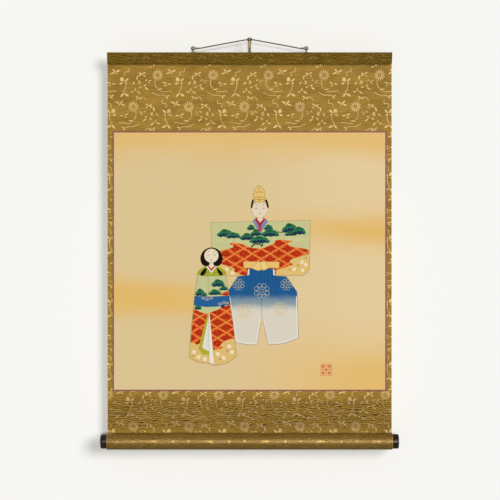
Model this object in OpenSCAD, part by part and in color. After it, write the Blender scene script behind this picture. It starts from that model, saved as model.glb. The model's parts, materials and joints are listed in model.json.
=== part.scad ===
// Hanging scroll: a painting on silk in a brocade mounting, carried by a half-round top stave
// and weighted by a round bottom roller with a knob on each end.
// Up is +Z and the painted face looks along -Y. The origin is the point where a hook carries the
// hanging cord, so the scroll hangs below it and the cord's underside passes through it.

/* [Sheet] */
// Width of the whole sheet, edge to edge
sheet_w = 445; // [380:5:540]
// Width of the painted silk
picture_w = 425; // [340:5:430]
// Height of the painted silk
picture_h = 403; // [330:1:490]
// Width of the red fillet that frames the painted silk
fillet_w = 2.5; // [2:0.1:3.5]
// Height of the upper brocade, from its glue line on the stave to the fillet
upper_h = 113; // [94:1:140]
// Height of the lower brocade, from the fillet to the middle of the roller
lower_h = 77; // [60:1:100]
// Thickness of the silk, brocade and fillet layer
front_t = 0.3; // [0.2:0.05:0.4]
// Thickness of the paper lining
lining_t = 0.5; // [0.35:0.05:0.6]
// Thickness of the silk band that protects the top of the back
protector_t = 0.15; // [0.1:0.05:0.2]
// Height of that band
protector_h = 210; // [150:5:260]

/* [Rolling up] */
// Bending lines in one turn of the rolled scroll
lines_per_turn = 5; // [5:1:6]
// Air between one turn and the next
turn_gap = 0.3; // [0.3:0.05:0.5]
// Least height of sheet that stays hanging below the stave's middle
leader_min = 50; // [50:1:70]

/* [Top stave] */
// Radius of the half-round wooden stave
stave_r = 8.5; // [7:0.1:10.5]
// Thickness of the brocade round the stave
stave_wrap_t = 0.5; // [0.4:0.05:0.6]
// Lean of the stave's flat front face, top edge forward
stave_lean = 25; // [15:1:30]
// Distance from the hook point down to the top of the stave
hang_drop = 19; // [18.5:0.1:20]

/* [Roller] */
// Radius of the bare wooden roller
roller_r = 12; // [10:0.1:14.5]
// Radius of each end knob
knob_r = 11.3; // [9.4:0.1:13.5]
// Length of each knob outside the sheet
knob_len = 9.8; // [8:0.1:12]
// Radius of the knob's rounded outer edge
knob_edge = 2; // [1:0.5:3]
// Radius of the tenon inside each knob
tenon_r = 5; // [4:0.1:6]
// Length of that tenon
tenon_len = 7; // [5:0.1:8]
// Width of the cloth patch behind each lower corner
patch_w = 14; // [10:1:20]
// Height of that patch
patch_h = 12; // [8:1:15]
// Thickness of that patch
patch_t = 0.15; // [0.1:0.05:0.25]

/* [Eyelets and cords] */
// Distance between the two eyelets
eyelet_spacing = 177; // [175:1:179]
// Radius of an eyelet's ring, to the middle of its wire
ring_r = 2.4; // [2.4:0.1:2.8]
// Radius of the eyelet's wire
wire_r = 0.7; // [0.5:0.05:0.8]
// Radius of the washer under each eyelet
washer_r = 2.8; // [2:0.1:4]
// Thickness of that washer
washer_t = 0.6; // [0.4:0.1:0.7]
// Wood left between an eyelet's shank and the stave's leaning front face
shank_wall = 0.5; // [0.4:0.1:0.8]
// Diameter of the hanging cord
cord_d = 2.2; // [1.8:0.1:2.4]
// Thickness of the thread whipped round the cord's ends
whipping_t = 0.8; // [0.5:0.1:0.9]
// Width of the flat tying cord
tie_w = 5; // [4:0.1:6]
// Thickness of the flat tying cord
tie_t = 1.4; // [1:0.1:1.6]

/* [Hidden] */
$fn = 64;
CORD_SIDES = 8;
// How far a cut runs past what it cuts
past = 1;

// Colours
BROCADE = "#ab8945";
STAVE_BROCADE = "#725521";
SILK = "#dfc68f";
FILLET = "#7b3a26";
LINING = "#e9dfc8";
PROTECTOR = "#aab6a8";
CEDAR = "#cfa678";
LACQUER = "#1d0e09";
IRON = "#2b1c15";
WASHER = "#8a6d3a";
CORD = "#8d8064";
TIE = "#c9a97c";

// The stave's middle and the plane of the sheet's front face, which hangs from its back
stave_wrap_r = stave_r + stave_wrap_t;
stave_z = -hang_drop - stave_wrap_r;
sheet_y = stave_wrap_r;
cover_t = stave_wrap_t;
stave_len = sheet_w - 2 * cover_t;
lining_y = sheet_y + front_t;
back_y = lining_y + lining_t;

// Heights on the sheet, from the top down
sheet_top = stave_z;
frame_top = sheet_top - upper_h;
picture_top = frame_top - fillet_w;
picture_bottom = picture_top - picture_h;
frame_bottom = picture_bottom - fillet_w;
roller_z = frame_bottom - lower_h;
frame_w = picture_w + 2 * fillet_w;

// The roller lies in front of the sheet, which runs down its back and on round it
roller_y = sheet_y - roller_r;
roller_wrap_r = roller_r + front_t + lining_t;
knob_gap = 0.2;

// Rolled up, the sheet is a spiral of flat strips round the roller. Side 0 is the stretch that
// leaves the roller. Each later side lies further out by an equal part of one turn's pitch, and
// the strips' heights follow from where neighbouring sides meet, in whole hundredths.
turn_angle = 360 / lines_per_turn;
turn_pitch = front_t + lining_t + protector_t + turn_gap;
function side_distance(k) =
    k == 0 ? roller_r : roller_wrap_r + turn_gap + (k - 1) * turn_pitch / lines_per_turn;
function reach(from, to) =
    (side_distance(to) - side_distance(from) * cos(turn_angle)) / sin(turn_angle);
function strip_h(k) = reach(k, k - 1) + reach(k, k + 1);
function hundredths(v) = round(100 * v) / 100;
function line_z(k) = k == 0 ? hundredths(roller_z + reach(0, 1)) : line_z(k - 1) + hundredths(strip_h(k));
function strip_count(k = 1) =
    line_z(k + 1) > sheet_top - leader_min ? k : strip_count(k + 1);
strips = strip_count();
tail_top = line_z(0);
leader_bottom = line_z(strips);

// Eyelets stand on the stave's top line. Each ring's hole faces sideways.
stave_top = -hang_drop;
ring_foot = 0.1;
ring_z = stave_top + washer_t + ring_foot + wire_r + ring_r;
shank_r = wire_r;
shank_bottom = stave_z + (shank_r + shank_wall) / tan(stave_lean);

// Hanging cord, right half from the peak outwards, as [x, z]. The left half mirrors it.
CORD_HALF = [
    [0, 1.1], [3, 0.9], [6, 0.5], [12, -0.5], [18, -1.6], [24, -2.7], [30, -3.8], [36, -4.9],
    [42, -6], [48, -7.1], [54, -8.2], [60, -9.3], [66, -10.4], [72, -11.6], [76, -12.4],
    [78.5, -12.8], [80, -12.8]
];
CORD_ROUTE = [
    for (k = [len(CORD_HALF) - 1:-1:1]) [-CORD_HALF[k][0], 0, CORD_HALF[k][1]],
    for (p = CORD_HALF) [p[0], 0, p[1]]
];
cord_end = CORD_HALF[len(CORD_HALF) - 1];
loop_r = ring_r;
loop_z = ring_z + ring_r;
whipping_r = cord_d / 2 + whipping_t;

// Tying cord, down behind the stave and the sheet, as [y, z]
TIE_BEND = [
    [0, -5], [0, -6.5], [0.9, -9], [3, -12], [6, -15], [8.9, -18], [10.7, -21], [11.3, -24],
    [11.3, -30]
];
TIE_RUN = [-45, -60, -75, -90, -105, -120, -135, -150, -165, -180, -195, -210, -225, -240, -255,
    -270, -285, -300, -315, -330, -345, -360, -375, -390, -405, -420, -435, -450, -465, -480,
    -495, -510, -525, -540, -555];
TIE_ROUTE = [
    for (p = TIE_BEND) [0, p[0], p[1]],
    for (z = TIE_RUN) [0, TIE_BEND[len(TIE_BEND) - 1][0], z]
];
tie_end = TIE_ROUTE[len(TIE_ROUTE) - 1];
tie_end_h = 5;
tie_end_swell = 0.3;
hitch_spread = 1.3;
hitch_gap = 0.2;
hitch_wire_r = 0.9;
hitch_r = cord_d / 2 + hitch_gap + hitch_wire_r;
hitch_z = CORD_HALF[0][1];
hitch_h = -TIE_BEND[0][1] + hitch_z - hitch_r;

function two_digits(k) = str(k < 10 ? "0" : "", k);
function lining_name(k) = str("lining_", two_digits(k));

// A flat panel, centred on x, with its front at y and its edges at the two heights
module panel(w, y, t, top, bottom, x = 0) {
    translate([x - w / 2, y, bottom]) cube([w, t, top - bottom]);
}

// A cylinder along X from x0 to x1
module rod(x0, x1, r) {
    translate([x0, 0, 0]) rotate([0, 90, 0]) cylinder(r = r, h = x1 - x0);
}

// A closed tube swept along a route that lies in a plane square to side. Its section is an oval,
// across side and thick along the bend.
module swept_tube(route, side, across, thick) {
    last = len(route) - 1;
    rings = [
        for (k = [0:last])
            let (
                way = route[min(k + 1, last)] - route[max(k - 1, 0)],
                up = cross(way, side) / norm(way)
            )
            for (s = [0:CORD_SIDES - 1])
                let (a = (s + 0.5) * 360 / CORD_SIDES)
                route[k] + side * across / 2 * cos(a) + up * thick / 2 * sin(a)
    ];
    walls = [
        for (k = [0:last - 1]) for (s = [0:CORD_SIDES - 1])
            let (a = k * CORD_SIDES + s, b = k * CORD_SIDES + (s + 1) % CORD_SIDES)
            [a, a + CORD_SIDES, b + CORD_SIDES, b]
    ];
    start = [for (s = [0:CORD_SIDES - 1]) s];
    end = [for (s = [CORD_SIDES - 1:-1:0]) last * CORD_SIDES + s];
    polyhedron(rings, concat(walls, [start, end]), convexity = 4);
}

// ---- Cords ----

module hanging_cord() {
    color(CORD) swept_tube(CORD_ROUTE, [0, 1, 0], cord_d, cord_d);
}

// The cord's end, threaded through an eyelet and whipped back onto itself
module cord_loop(x, inward) {
    whipping = abs(x) - cord_end[0];
    color(CORD) translate([x, 0, loop_z]) {
        rotate([90, 0, 0]) rotate_extrude() translate([loop_r, 0]) circle(cord_d / 2);
        difference() {
            if (inward > 0) rod(0, whipping, whipping_r);
            else rod(-whipping, 0, whipping_r);
            rod(-loop_r, loop_r, whipping_r + past);
        }
    }
}
module left_cord_loop() { cord_loop(-eyelet_spacing / 2, 1); }
module right_cord_loop() { cord_loop(eyelet_spacing / 2, -1); }

module tie_hitch() {
    color(TIE) {
        for (x = [-hitch_spread, hitch_spread])
            translate([x, 0, hitch_z]) rotate([0, 90, 0])
                rotate_extrude() translate([hitch_r, 0]) circle(hitch_wire_r);
        translate([-tie_w / 2, -tie_t / 2, TIE_BEND[0][1]]) cube([tie_w, tie_t, hitch_h]);
    }
}
module tie_cord() {
    color(TIE) swept_tube(TIE_ROUTE, [1, 0, 0], tie_w, tie_t);
}
module tie_end() {
    w = tie_w + 2 * tie_end_swell;
    t = tie_t + 2 * tie_end_swell;
    color(TIE) translate([-w / 2, tie_end[1] - t / 2, tie_end[2] - tie_end_h]) cube([w, t, tie_end_h]);
}

// ---- Top stave ----

// Section of the half-round stave, flat face turned to the front and leaning by stave_lean
module stave_section(r, face) {
    rotate(stave_lean) intersection() {
        circle(r);
        translate([-face, -2 * r]) square([2 * r + face, 4 * r]);
    }
}
module stave_solid(r, face, len) {
    translate([-len / 2, 0, stave_z]) rotate([90, 0, 90]) linear_extrude(len) stave_section(r, face);
}
module at_eyelets() {
    for (x = [-eyelet_spacing / 2, eyelet_spacing / 2]) translate([x, 0, 0]) children();
}
module shank_hole() {
    translate([0, 0, shank_bottom]) cylinder(r = shank_r, h = -shank_bottom);
}

module stave_core() {
    color(CEDAR) difference() {
        stave_solid(stave_r, 0, stave_len);
        at_eyelets() shank_hole();
    }
}
module stave_wrap() {
    color(STAVE_BROCADE) difference() {
        stave_solid(stave_wrap_r, stave_wrap_t, stave_len);
        stave_solid(stave_r, 0, stave_len + 2 * past);
        at_eyelets() shank_hole();
    }
}
module stave_cover(x) {
    color(STAVE_BROCADE) translate([x, 0, 0]) stave_solid(stave_wrap_r, stave_wrap_t, cover_t);
}
module left_stave_cover() { stave_cover(-(stave_len + cover_t) / 2); }
module right_stave_cover() { stave_cover((stave_len + cover_t) / 2); }

module eyelet(x) {
    color(IRON) translate([x, 0, 0]) {
        translate([0, 0, ring_z]) rotate([0, 90, 0])
            rotate_extrude() translate([ring_r, 0]) circle(wire_r);
        translate([0, 0, shank_bottom]) cylinder(r = shank_r, h = ring_z - ring_r - shank_bottom);
    }
}
module left_eyelet() { eyelet(-eyelet_spacing / 2); }
module right_eyelet() { eyelet(eyelet_spacing / 2); }

module washer(x) {
    color(WASHER) translate([x, 0, 0]) difference() {
        translate([0, 0, stave_top - washer_t]) cylinder(r = washer_r, h = 2 * washer_t);
        translate([0, 0, stave_z]) rod(-2 * washer_r, 2 * washer_r, stave_wrap_r);
        shank_hole();
    }
}
module left_washer() { washer(-eyelet_spacing / 2); }
module right_washer() { washer(eyelet_spacing / 2); }

// ---- Front of the sheet ----

module front_panel(w, top, bottom, x = 0) { panel(w, sheet_y, front_t, top, bottom, x); }

module upper_brocade() { color(BROCADE) front_panel(sheet_w, sheet_top, frame_top); }
module lower_brocade() { color(BROCADE) front_panel(sheet_w, frame_bottom, tail_top); }
module border(side) {
    w = (sheet_w - frame_w) / 2;
    color(BROCADE) front_panel(w, frame_top, frame_bottom, side * (frame_w + w) / 2);
}
module left_border() { border(-1); }
module right_border() { border(1); }

module top_fillet() { color(FILLET) front_panel(frame_w, frame_top, picture_top); }
module bottom_fillet() { color(FILLET) front_panel(frame_w, picture_bottom, frame_bottom); }
module side_fillet(side) {
    x = side * (picture_w + fillet_w) / 2;
    color(FILLET) front_panel(fillet_w, picture_top, picture_bottom, x);
}
module left_fillet() { side_fillet(-1); }
module right_fillet() { side_fillet(1); }

module picture_silk() { color(SILK) front_panel(picture_w, picture_top, picture_bottom); }

// ---- Back of the sheet ----

module top_protector() {
    color(PROTECTOR) panel(sheet_w, back_y, protector_t, sheet_top, sheet_top - protector_h);
}
module leader_lining() {
    color(LINING) panel(sheet_w, lining_y, lining_t, sheet_top, leader_bottom);
}
// The lining between two bending lines. Strip 1 hangs from the leader.
module lining(n) {
    k = strips + 1 - n;
    color(LINING) panel(sheet_w, lining_y, lining_t, line_z(k), line_z(k - 1));
}
module corner_patches() {
    for (side = [-1, 1]) color(BROCADE)
        panel(patch_w, back_y, patch_t, tail_top + patch_h, tail_top, side * (sheet_w - patch_w) / 2);
}

// ---- Roller ----

module roller_core() {
    color(CEDAR) translate([0, roller_y, roller_z]) {
        rod(-sheet_w / 2, sheet_w / 2, roller_r);
        rod(-sheet_w / 2 - tenon_len, sheet_w / 2 + tenon_len, tenon_r);
    }
}
// The foot of the sheet, down to the roller's back and once round it
module roller_wrap() {
    color(BROCADE) difference() {
        union() {
            translate([0, roller_y, roller_z]) rod(-sheet_w / 2, sheet_w / 2, roller_wrap_r);
            panel(sheet_w, sheet_y, front_t + lining_t, tail_top, roller_z);
        }
        translate([0, roller_y, roller_z]) rod(-sheet_w, sheet_w, roller_r);
    }
}
// A knob turned to a slight dome, its edge rounded and its socket fitting the tenon
module knob() {
    difference() {
        rotate([0, 90, 0]) rotate_extrude() difference() {
            union() {
                square([knob_r, knob_len - knob_edge]);
                square([knob_r - knob_edge, knob_len]);
                translate([knob_r - knob_edge, knob_len - knob_edge]) circle(knob_edge);
            }
            translate([-knob_r, -past]) square([knob_r, knob_len + 2 * past]);
        }
        rod(-past, tenon_len + knob_gap, tenon_r);
    }
}
module right_knob() {
    color(LACQUER) translate([sheet_w / 2, roller_y, roller_z]) knob();
}
module left_knob() {
    color(LACQUER) translate([-sheet_w / 2, roller_y, roller_z]) mirror([1, 0, 0]) knob();
}

hanging_cord();
left_cord_loop();
right_cord_loop();
tie_hitch();
tie_cord();
tie_end();
stave_core();
stave_wrap();
left_stave_cover();
right_stave_cover();
left_eyelet();
right_eyelet();
left_washer();
right_washer();
upper_brocade();
lower_brocade();
left_border();
right_border();
top_fillet();
bottom_fillet();
left_fillet();
right_fillet();
picture_silk();
top_protector();
leader_lining();
for (k = [1:strips]) lining(k);
corner_patches();
roller_core();
roller_wrap();
left_knob();
right_knob();
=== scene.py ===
# %% [markdown]
# # A hanging scroll
# A painting on silk, mounted in brocade, hangs from a half-round stave on a cord. A round roller
# weights its foot. The sheet is thin, so nearly everything here is flat work: cloth cut into bands
# that bend, and figures and paint that lie on it in layers a few hundredths of a millimetre thick.
#
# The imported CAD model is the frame. The sheet's, stave's and roller's places are read from it.
# The cords' are written out in millimetres, and lie on its cords.

# %% Load the frame
import json
import math
from math import cos, pi, radians, sin

import bmesh
import bpy
import numpy as np
from mathutils import Matrix, Vector


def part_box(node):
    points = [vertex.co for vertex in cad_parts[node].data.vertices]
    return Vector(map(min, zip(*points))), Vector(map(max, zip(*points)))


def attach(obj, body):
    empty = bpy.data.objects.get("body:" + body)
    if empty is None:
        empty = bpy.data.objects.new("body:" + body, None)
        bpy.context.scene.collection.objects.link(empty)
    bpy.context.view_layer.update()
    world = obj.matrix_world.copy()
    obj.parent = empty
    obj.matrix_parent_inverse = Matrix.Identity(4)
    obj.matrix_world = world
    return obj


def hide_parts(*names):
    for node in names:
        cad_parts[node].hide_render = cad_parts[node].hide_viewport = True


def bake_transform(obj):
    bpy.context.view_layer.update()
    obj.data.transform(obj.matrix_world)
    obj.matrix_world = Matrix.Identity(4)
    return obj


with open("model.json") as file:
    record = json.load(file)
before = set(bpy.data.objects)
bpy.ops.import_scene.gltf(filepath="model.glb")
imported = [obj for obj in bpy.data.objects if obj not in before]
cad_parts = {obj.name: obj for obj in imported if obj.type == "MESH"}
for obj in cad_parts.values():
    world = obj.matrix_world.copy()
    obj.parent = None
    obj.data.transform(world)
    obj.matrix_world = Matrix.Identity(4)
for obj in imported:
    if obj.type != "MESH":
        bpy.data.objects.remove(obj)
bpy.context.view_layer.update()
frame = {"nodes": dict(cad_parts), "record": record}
scene = bpy.context.scene
scene.view_settings.view_transform = "Standard"
MM = 0.001

# %% [markdown]
# ## Places on the scroll
# The sheet hangs in one plane. Its front faces -Y. The bending lines are the hinges on which it
# rolls up, and their heights come from the joints.

# %% Places
front_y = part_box("picture_silk")[0].y
lining_back_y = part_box("leader_lining")[1].y
protector_back_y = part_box("top_protector")[1].y
sheet_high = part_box("leader_lining")[1]
half_sheet = sheet_high.x
picture_low, picture_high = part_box("picture_silk")
frame_low, frame_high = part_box("bottom_fillet")[0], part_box("top_fillet")[1]
roller_low, roller_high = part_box("roller_core")
roller_y = (roller_low.y + roller_high.y) / 2
roller_z = (roller_low.z + roller_high.z) / 2
roller_wrap_r = roller_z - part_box("roller_wrap")[0].z
bending_lines = [j["pos_m"][2] for j in frame["record"]["behaviour"]["joints"]
                 if j["name"].startswith("bend_")]
tail_top = bending_lines[-1]
print(f"sheet {2000 * half_sheet:.0f} mm wide, {len(bending_lines)} bending lines,",
      f"roller radius {1000 * roller_wrap_r:.1f} mm")

# %% [markdown]
# ## Camera
# A long lens, two and a half metres in front of the sheet and level with its middle, sees the
# scroll with a little wall all round. From there the roller looks hardly wider than the sheet.

# %% Camera
EYE_DISTANCE = 2.5
VIEW_WIDTH = 0.7835
eye = bpy.data.cameras.new("eye")
camera = bpy.data.objects.new("eye", eye)
scene.collection.objects.link(camera)
scene.camera = camera
eye.lens = eye.sensor_width * EYE_DISTANCE / VIEW_WIDTH
camera.location = (0.0006, front_y - EYE_DISTANCE, -0.3276)
camera.rotation_euler = (radians(90), 0, 0)
print(f"lens {eye.lens:.1f} mm")

# %% [markdown]
# ## Three small helpers
# A colour is written as the sRGB hex that a paint chart gives, and the shaders want it linear.
# One function adds a shader or geometry node and wires it. One starts a material.

# %% Helpers for colours and nodes
def linear(code):
    """An sRGB hex colour as linear red, green, blue and alpha."""
    parts = [int(code[i:i + 2], 16) / 255 for i in (1, 3, 5)]
    return (*(p / 12.92 if p <= 0.04045 else ((p + 0.055) / 1.055) ** 2.4 for p in parts), 1.0)


def add(tree, kind, inputs=None, **settings):
    """Adds a node. An input is set by its name or number, to a value or from another's output."""
    made = tree.nodes.new(kind)
    for key, value in settings.items():
        setattr(made, key, value)
    for key, value in (inputs or {}).items():
        if isinstance(value, bpy.types.NodeSocket):
            tree.links.new(value, made.inputs[key])
        else:
            made.inputs[key].default_value = value
    return made


def surface(name, build, sockets):
    """A material. build(tree) returns the shader's linked inputs, and sockets holds fixed ones."""
    made = bpy.data.materials.new(name)
    made.use_nodes = True
    tree = made.node_tree
    tree.nodes.clear()
    shader = add(tree, "ShaderNodeBsdfPrincipled", {**sockets, **build(tree)})
    add(tree, "ShaderNodeOutputMaterial", {"Surface": shader.outputs[0]})
    return made


# %% [markdown]
# ## Threads, yarns and grain
# Woven and spun things share one look: a fine repeat across, a fine repeat along, and slow uneven
# patches. A wave texture repeats each 0.314 / scale of its input, so `per` turns a real spacing
# in millimetres into that scale.

# %% Helpers for patterns
def per(spacing_mm):
    """The scale at which a wave texture repeats at this spacing."""
    return 0.31416 / (spacing_mm * MM)


def cloth_place(tree):
    """Where a point lies on the flat cloth, in metres, so that the weave follows every bend."""
    return add(tree, "ShaderNodeUVMap", uv_map="cloth").outputs[0]


def own_place(tree):
    """Where a point lies on its piece, in metres."""
    return add(tree, "ShaderNodeTexCoord").outputs["Object"]


def stretched(tree, place, x, y, z=1.0):
    """The place, scaled unevenly."""
    return add(tree, "ShaderNodeMapping", {0: place, 3: (x, y, z)}).outputs[0]


def noise(tree, place, per_metre, detail=2.0):
    return add(tree, "ShaderNodeTexNoise",
               {0: place, "Scale": per_metre, "Detail": detail}).outputs[0]


def wave(tree, place, spacing_mm, direction, distortion=0.0):
    return add(tree, "ShaderNodeTexWave",
               {0: place, "Scale": per(spacing_mm), "Distortion": distortion},
               bands_direction=direction).outputs["Fac"]


def calc(tree, operation, a, b=0.0):
    return add(tree, "ShaderNodeMath", {0: a, 1: b}, operation=operation).outputs[0]


def blended(tree, share, a, b, how="MIX"):
    """Colour a turning into colour b. Each is a hex code or an output."""
    ends = [linear(c) if isinstance(c, str) else c for c in (a, b)]
    return add(tree, "ShaderNodeMix", {0: share, 6: ends[0], 7: ends[1]},
               data_type="RGBA", blend_type=how).outputs[2]


def between(tree, value, low, high):
    """0 at low, 1 at high, and smooth between."""
    return add(tree, "ShaderNodeMapRange", {0: value, 1: low, 2: high},
               interpolation_type="SMOOTHSTEP").outputs[0]


def bump(tree, height, strength, depth_mm):
    return add(tree, "ShaderNodeBump",
               {"Height": height, "Strength": strength, "Distance": depth_mm * MM}).outputs[0]


# %% Helpers for shapes
def placed(name, data):
    """A new object at the origin, in the scene."""
    made = bpy.data.objects.new(name, data)
    scene.collection.objects.link(made)
    return made


def mesh_from(work, name):
    """Turns a work mesh into a kept one, and frees it."""
    mesh = bpy.data.meshes.new(name)
    work.to_mesh(mesh)
    work.free()
    return mesh


def around(count, start=0.0):
    """Even angles once round."""
    return np.linspace(start, start + 2 * pi, count, endpoint=False)


# %% [markdown]
# ## The hanging cord
# The real cord is plied from dark and pale silk yarns, a little over two millimetres thick. A
# plain tube with stripes would look printed. So four yarns are swept along the route, and the
# curve's tilt turns them round it: that is all that twisting is. Geometry Nodes suit this, because
# one tree serves the free cord and the two loops tied to the eyelets.

# %% Yarn finishes
def yarn_finish(name, pale, dark):
    def build(tree):
        fibres = noise(tree, own_place(tree), 1400, 3)
        return {"Base Color": blended(tree, between(tree, fibres, 0.35, 0.65), dark, pale),
                "Normal": bump(tree, fibres, 0.5, 0.15)}
    # Spun silk: soft gloss, with stray fibres that catch light at the edges
    return surface(name, build, sockets={"Roughness": 0.6, "Sheen Weight": 0.3,
                                         "Sheen Roughness": 0.4})


dark_yarn = yarn_finish("dark brown silk yarn", "#4c4136", "#2e251d")
pale_yarn = yarn_finish("unbleached silk yarn", "#a18f6b", "#6f5f43")

# %% The tree that plies yarns along a curve
def input_socket(tree, name, kind, value=None):
    made = tree.interface.new_socket(name, in_out="INPUT", socket_type=kind)
    if value is not None:
        made.default_value = value
    return made


def start_tree(name):
    tree = bpy.data.node_groups.new(name, "GeometryNodeTree")
    input_socket(tree, "Geometry", "NodeSocketGeometry")
    tree.interface.new_socket("Geometry", in_out="OUTPUT", socket_type="NodeSocketGeometry")
    return tree


def end_tree(tree, geometry):
    real = add(tree, "GeometryNodeRealizeInstances", {0: geometry})
    add(tree, "NodeGroupOutput", {0: real.outputs[0]})
    return tree


def plied_tree():
    tree = start_tree("plied yarns")
    for name, value in (("Yarn radius", 0.55 * MM), ("Lay radius", 0.53 * MM),
                        ("Lay length", 7 * MM), ("Step", 0.5 * MM)):
        input_socket(tree, name, "NodeSocketFloat", value)
    for name in ("Dark", "Pale"):
        input_socket(tree, name, "NodeSocketMaterial")
    given = add(tree, "NodeGroupInput").outputs
    fine = add(tree, "GeometryNodeResampleCurve", {0: given[0]}, mode="LENGTH")
    tree.links.new(given["Step"], fine.inputs["Length"])
    along = add(tree, "GeometryNodeSplineParameter").outputs["Length"]
    turns = calc(tree, "DIVIDE", along, given["Lay length"])
    join = add(tree, "GeometryNodeJoinGeometry")
    for k in range(4):
        tilt = calc(tree, "MULTIPLY", calc(tree, "ADD", turns, k / 4), 2 * pi)
        turned = add(tree, "GeometryNodeSetCurveTilt", {"Curve": fine.outputs[0], "Tilt": tilt})
        ring = add(tree, "GeometryNodeCurvePrimitiveCircle",
                   {"Resolution": 8, "Radius": given["Yarn radius"]})
        offset = add(tree, "ShaderNodeCombineXYZ", {0: given["Lay radius"]})
        beside = add(tree, "GeometryNodeTransform", {0: ring.outputs[0],
                                                     "Translation": offset.outputs[0]})
        yarn = add(tree, "GeometryNodeCurveToMesh", {0: turned.outputs[0], 1: beside.outputs[0],
                                                     "Fill Caps": True})
        colour = given["Pale" if k % 2 else "Dark"]
        dyed = add(tree, "GeometryNodeSetMaterial", {0: yarn.outputs[0], "Material": colour})
        tree.links.new(dyed.outputs[0], join.inputs[0])
    return end_tree(tree, join.outputs[0])


def curve_through(name, points, cyclic=False):
    data = bpy.data.curves.new(name, "CURVE")
    data.dimensions = "3D"
    line = data.splines.new("POLY")
    line.points.add(len(points) - 1)
    for point, place in zip(line.points, points):
        point.co = (*place, 1)
    line.use_cyclic_u = cyclic
    return placed(name, data)


def settle(obj, tree, name, **values):
    """Runs the tree on obj with these inputs, and keeps the result as a plain mesh."""
    worker = obj.modifiers.new("nodes", "NODES")
    worker.node_group = tree
    ids = {s.name: s.identifier for s in tree.interface.items_tree if s.in_out == "INPUT"}
    for key, value in values.items():
        worker[ids[key.replace("_", " ")]] = value
    done = obj.evaluated_get(bpy.context.evaluated_depsgraph_get())
    mesh = bpy.data.meshes.new_from_object(done)
    bpy.data.objects.remove(obj)
    return placed(name, mesh)


def smooth_shaded(obj):
    for face in obj.data.polygons:
        face.use_smooth = True
    return obj


def curved(points, steps=4):
    """More points on a smooth line through these, by Catmull and Rom's rule."""
    p = [Vector(q) for q in points]
    p = [2 * p[0] - p[1], *p, 2 * p[-1] - p[-2]]
    made = []
    for a, b, c, d in zip(p, p[1:], p[2:], p[3:]):
        for t in (k / steps for k in range(steps)):
            made.append(0.5 * (2 * b + (c - a) * t + (2 * a - 5 * b + 4 * c - d) * t * t
                               + (3 * b - a - 3 * c + d) * t ** 3))
    return [*made, p[-2]]


# %% The free cord between the eyelets
CORD_HALF_MM = [
    (0, 1.1), (3, 0.9), (6, 0.5), (12, -0.5), (18, -1.6), (24, -2.7), (30, -3.8), (36, -4.9),
    (42, -6), (48, -7.1), (54, -8.2), (60, -9.3), (66, -10.4), (72, -11.6), (76, -12.4),
    (78.5, -12.8), (80, -12.8)]
cord_route = [(-x * MM, 0, z * MM) for x, z in reversed(CORD_HALF_MM[1:])]
cord_route += [(x * MM, 0, z * MM) for x, z in CORD_HALF_MM]
plied = plied_tree()
YARNS = {"Dark": dark_yarn, "Pale": pale_yarn}
free_cord = smooth_shaded(settle(curve_through("route", curved(cord_route)), plied,
                                 "plied_hanging_cord", **YARNS))
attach(free_cord, "hanging_cord")
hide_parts("hanging_cord")


def length_of(points):
    return sum((Vector(b) - Vector(a)).length for a, b in zip(points, points[1:]))


print(f"hanging cord {1000 * length_of(cord_route):.0f} mm,", len(free_cord.data.polygons), "faces")

# %% [markdown]
# ## The tied ends
# Each end goes through its eyelet and lies back on itself, bound with thread. The loop follows a
# circle through the eyelet's ring, and the binding is a close helix over the doubled cord.

# %% Loops and bindings
def binding_tree():
    tree = start_tree("bound thread")
    for name, value in (("Turns", 12.0), ("Radius", 1.5 * MM), ("Length", 6 * MM),
                        ("Thread radius", 0.27 * MM)):
        input_socket(tree, name, "NodeSocketFloat", value)
    input_socket(tree, "Thread", "NodeSocketMaterial")
    given = add(tree, "NodeGroupInput").outputs
    helix = add(tree, "GeometryNodeCurveSpiral",
                {"Resolution": 18, "Rotations": given["Turns"], "Start Radius": given["Radius"],
                 "End Radius": given["Radius"], "Height": given["Length"]})
    ring = add(tree, "GeometryNodeCurvePrimitiveCircle",
               {"Resolution": 8, "Radius": given["Thread radius"]})
    thread = add(tree, "GeometryNodeCurveToMesh", {0: helix.outputs[0], 1: ring.outputs[0],
                                                   "Fill Caps": True})
    laid = add(tree, "GeometryNodeTransform", {0: thread.outputs[0],
                                               "Rotation": (0, pi / 2, 0)})
    dyed = add(tree, "GeometryNodeSetMaterial", {0: laid.outputs[0], "Material": given["Thread"]})
    return end_tree(tree, dyed.outputs[0])


def joined(name, parts):
    """Several mesh objects as one, with their materials."""
    out = bmesh.new()
    mesh = bpy.data.meshes.new(name)
    for part in parts:
        first = len(mesh.materials)
        for m in part.data.materials:
            mesh.materials.append(m)
        before = len(out.faces)
        out.from_mesh(part.data)
        out.faces.ensure_lookup_table()
        for face in out.faces[before:]:
            face.material_index += first
        bpy.data.objects.remove(part)
    out.to_mesh(mesh)
    out.free()
    return placed(name, mesh)


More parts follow.
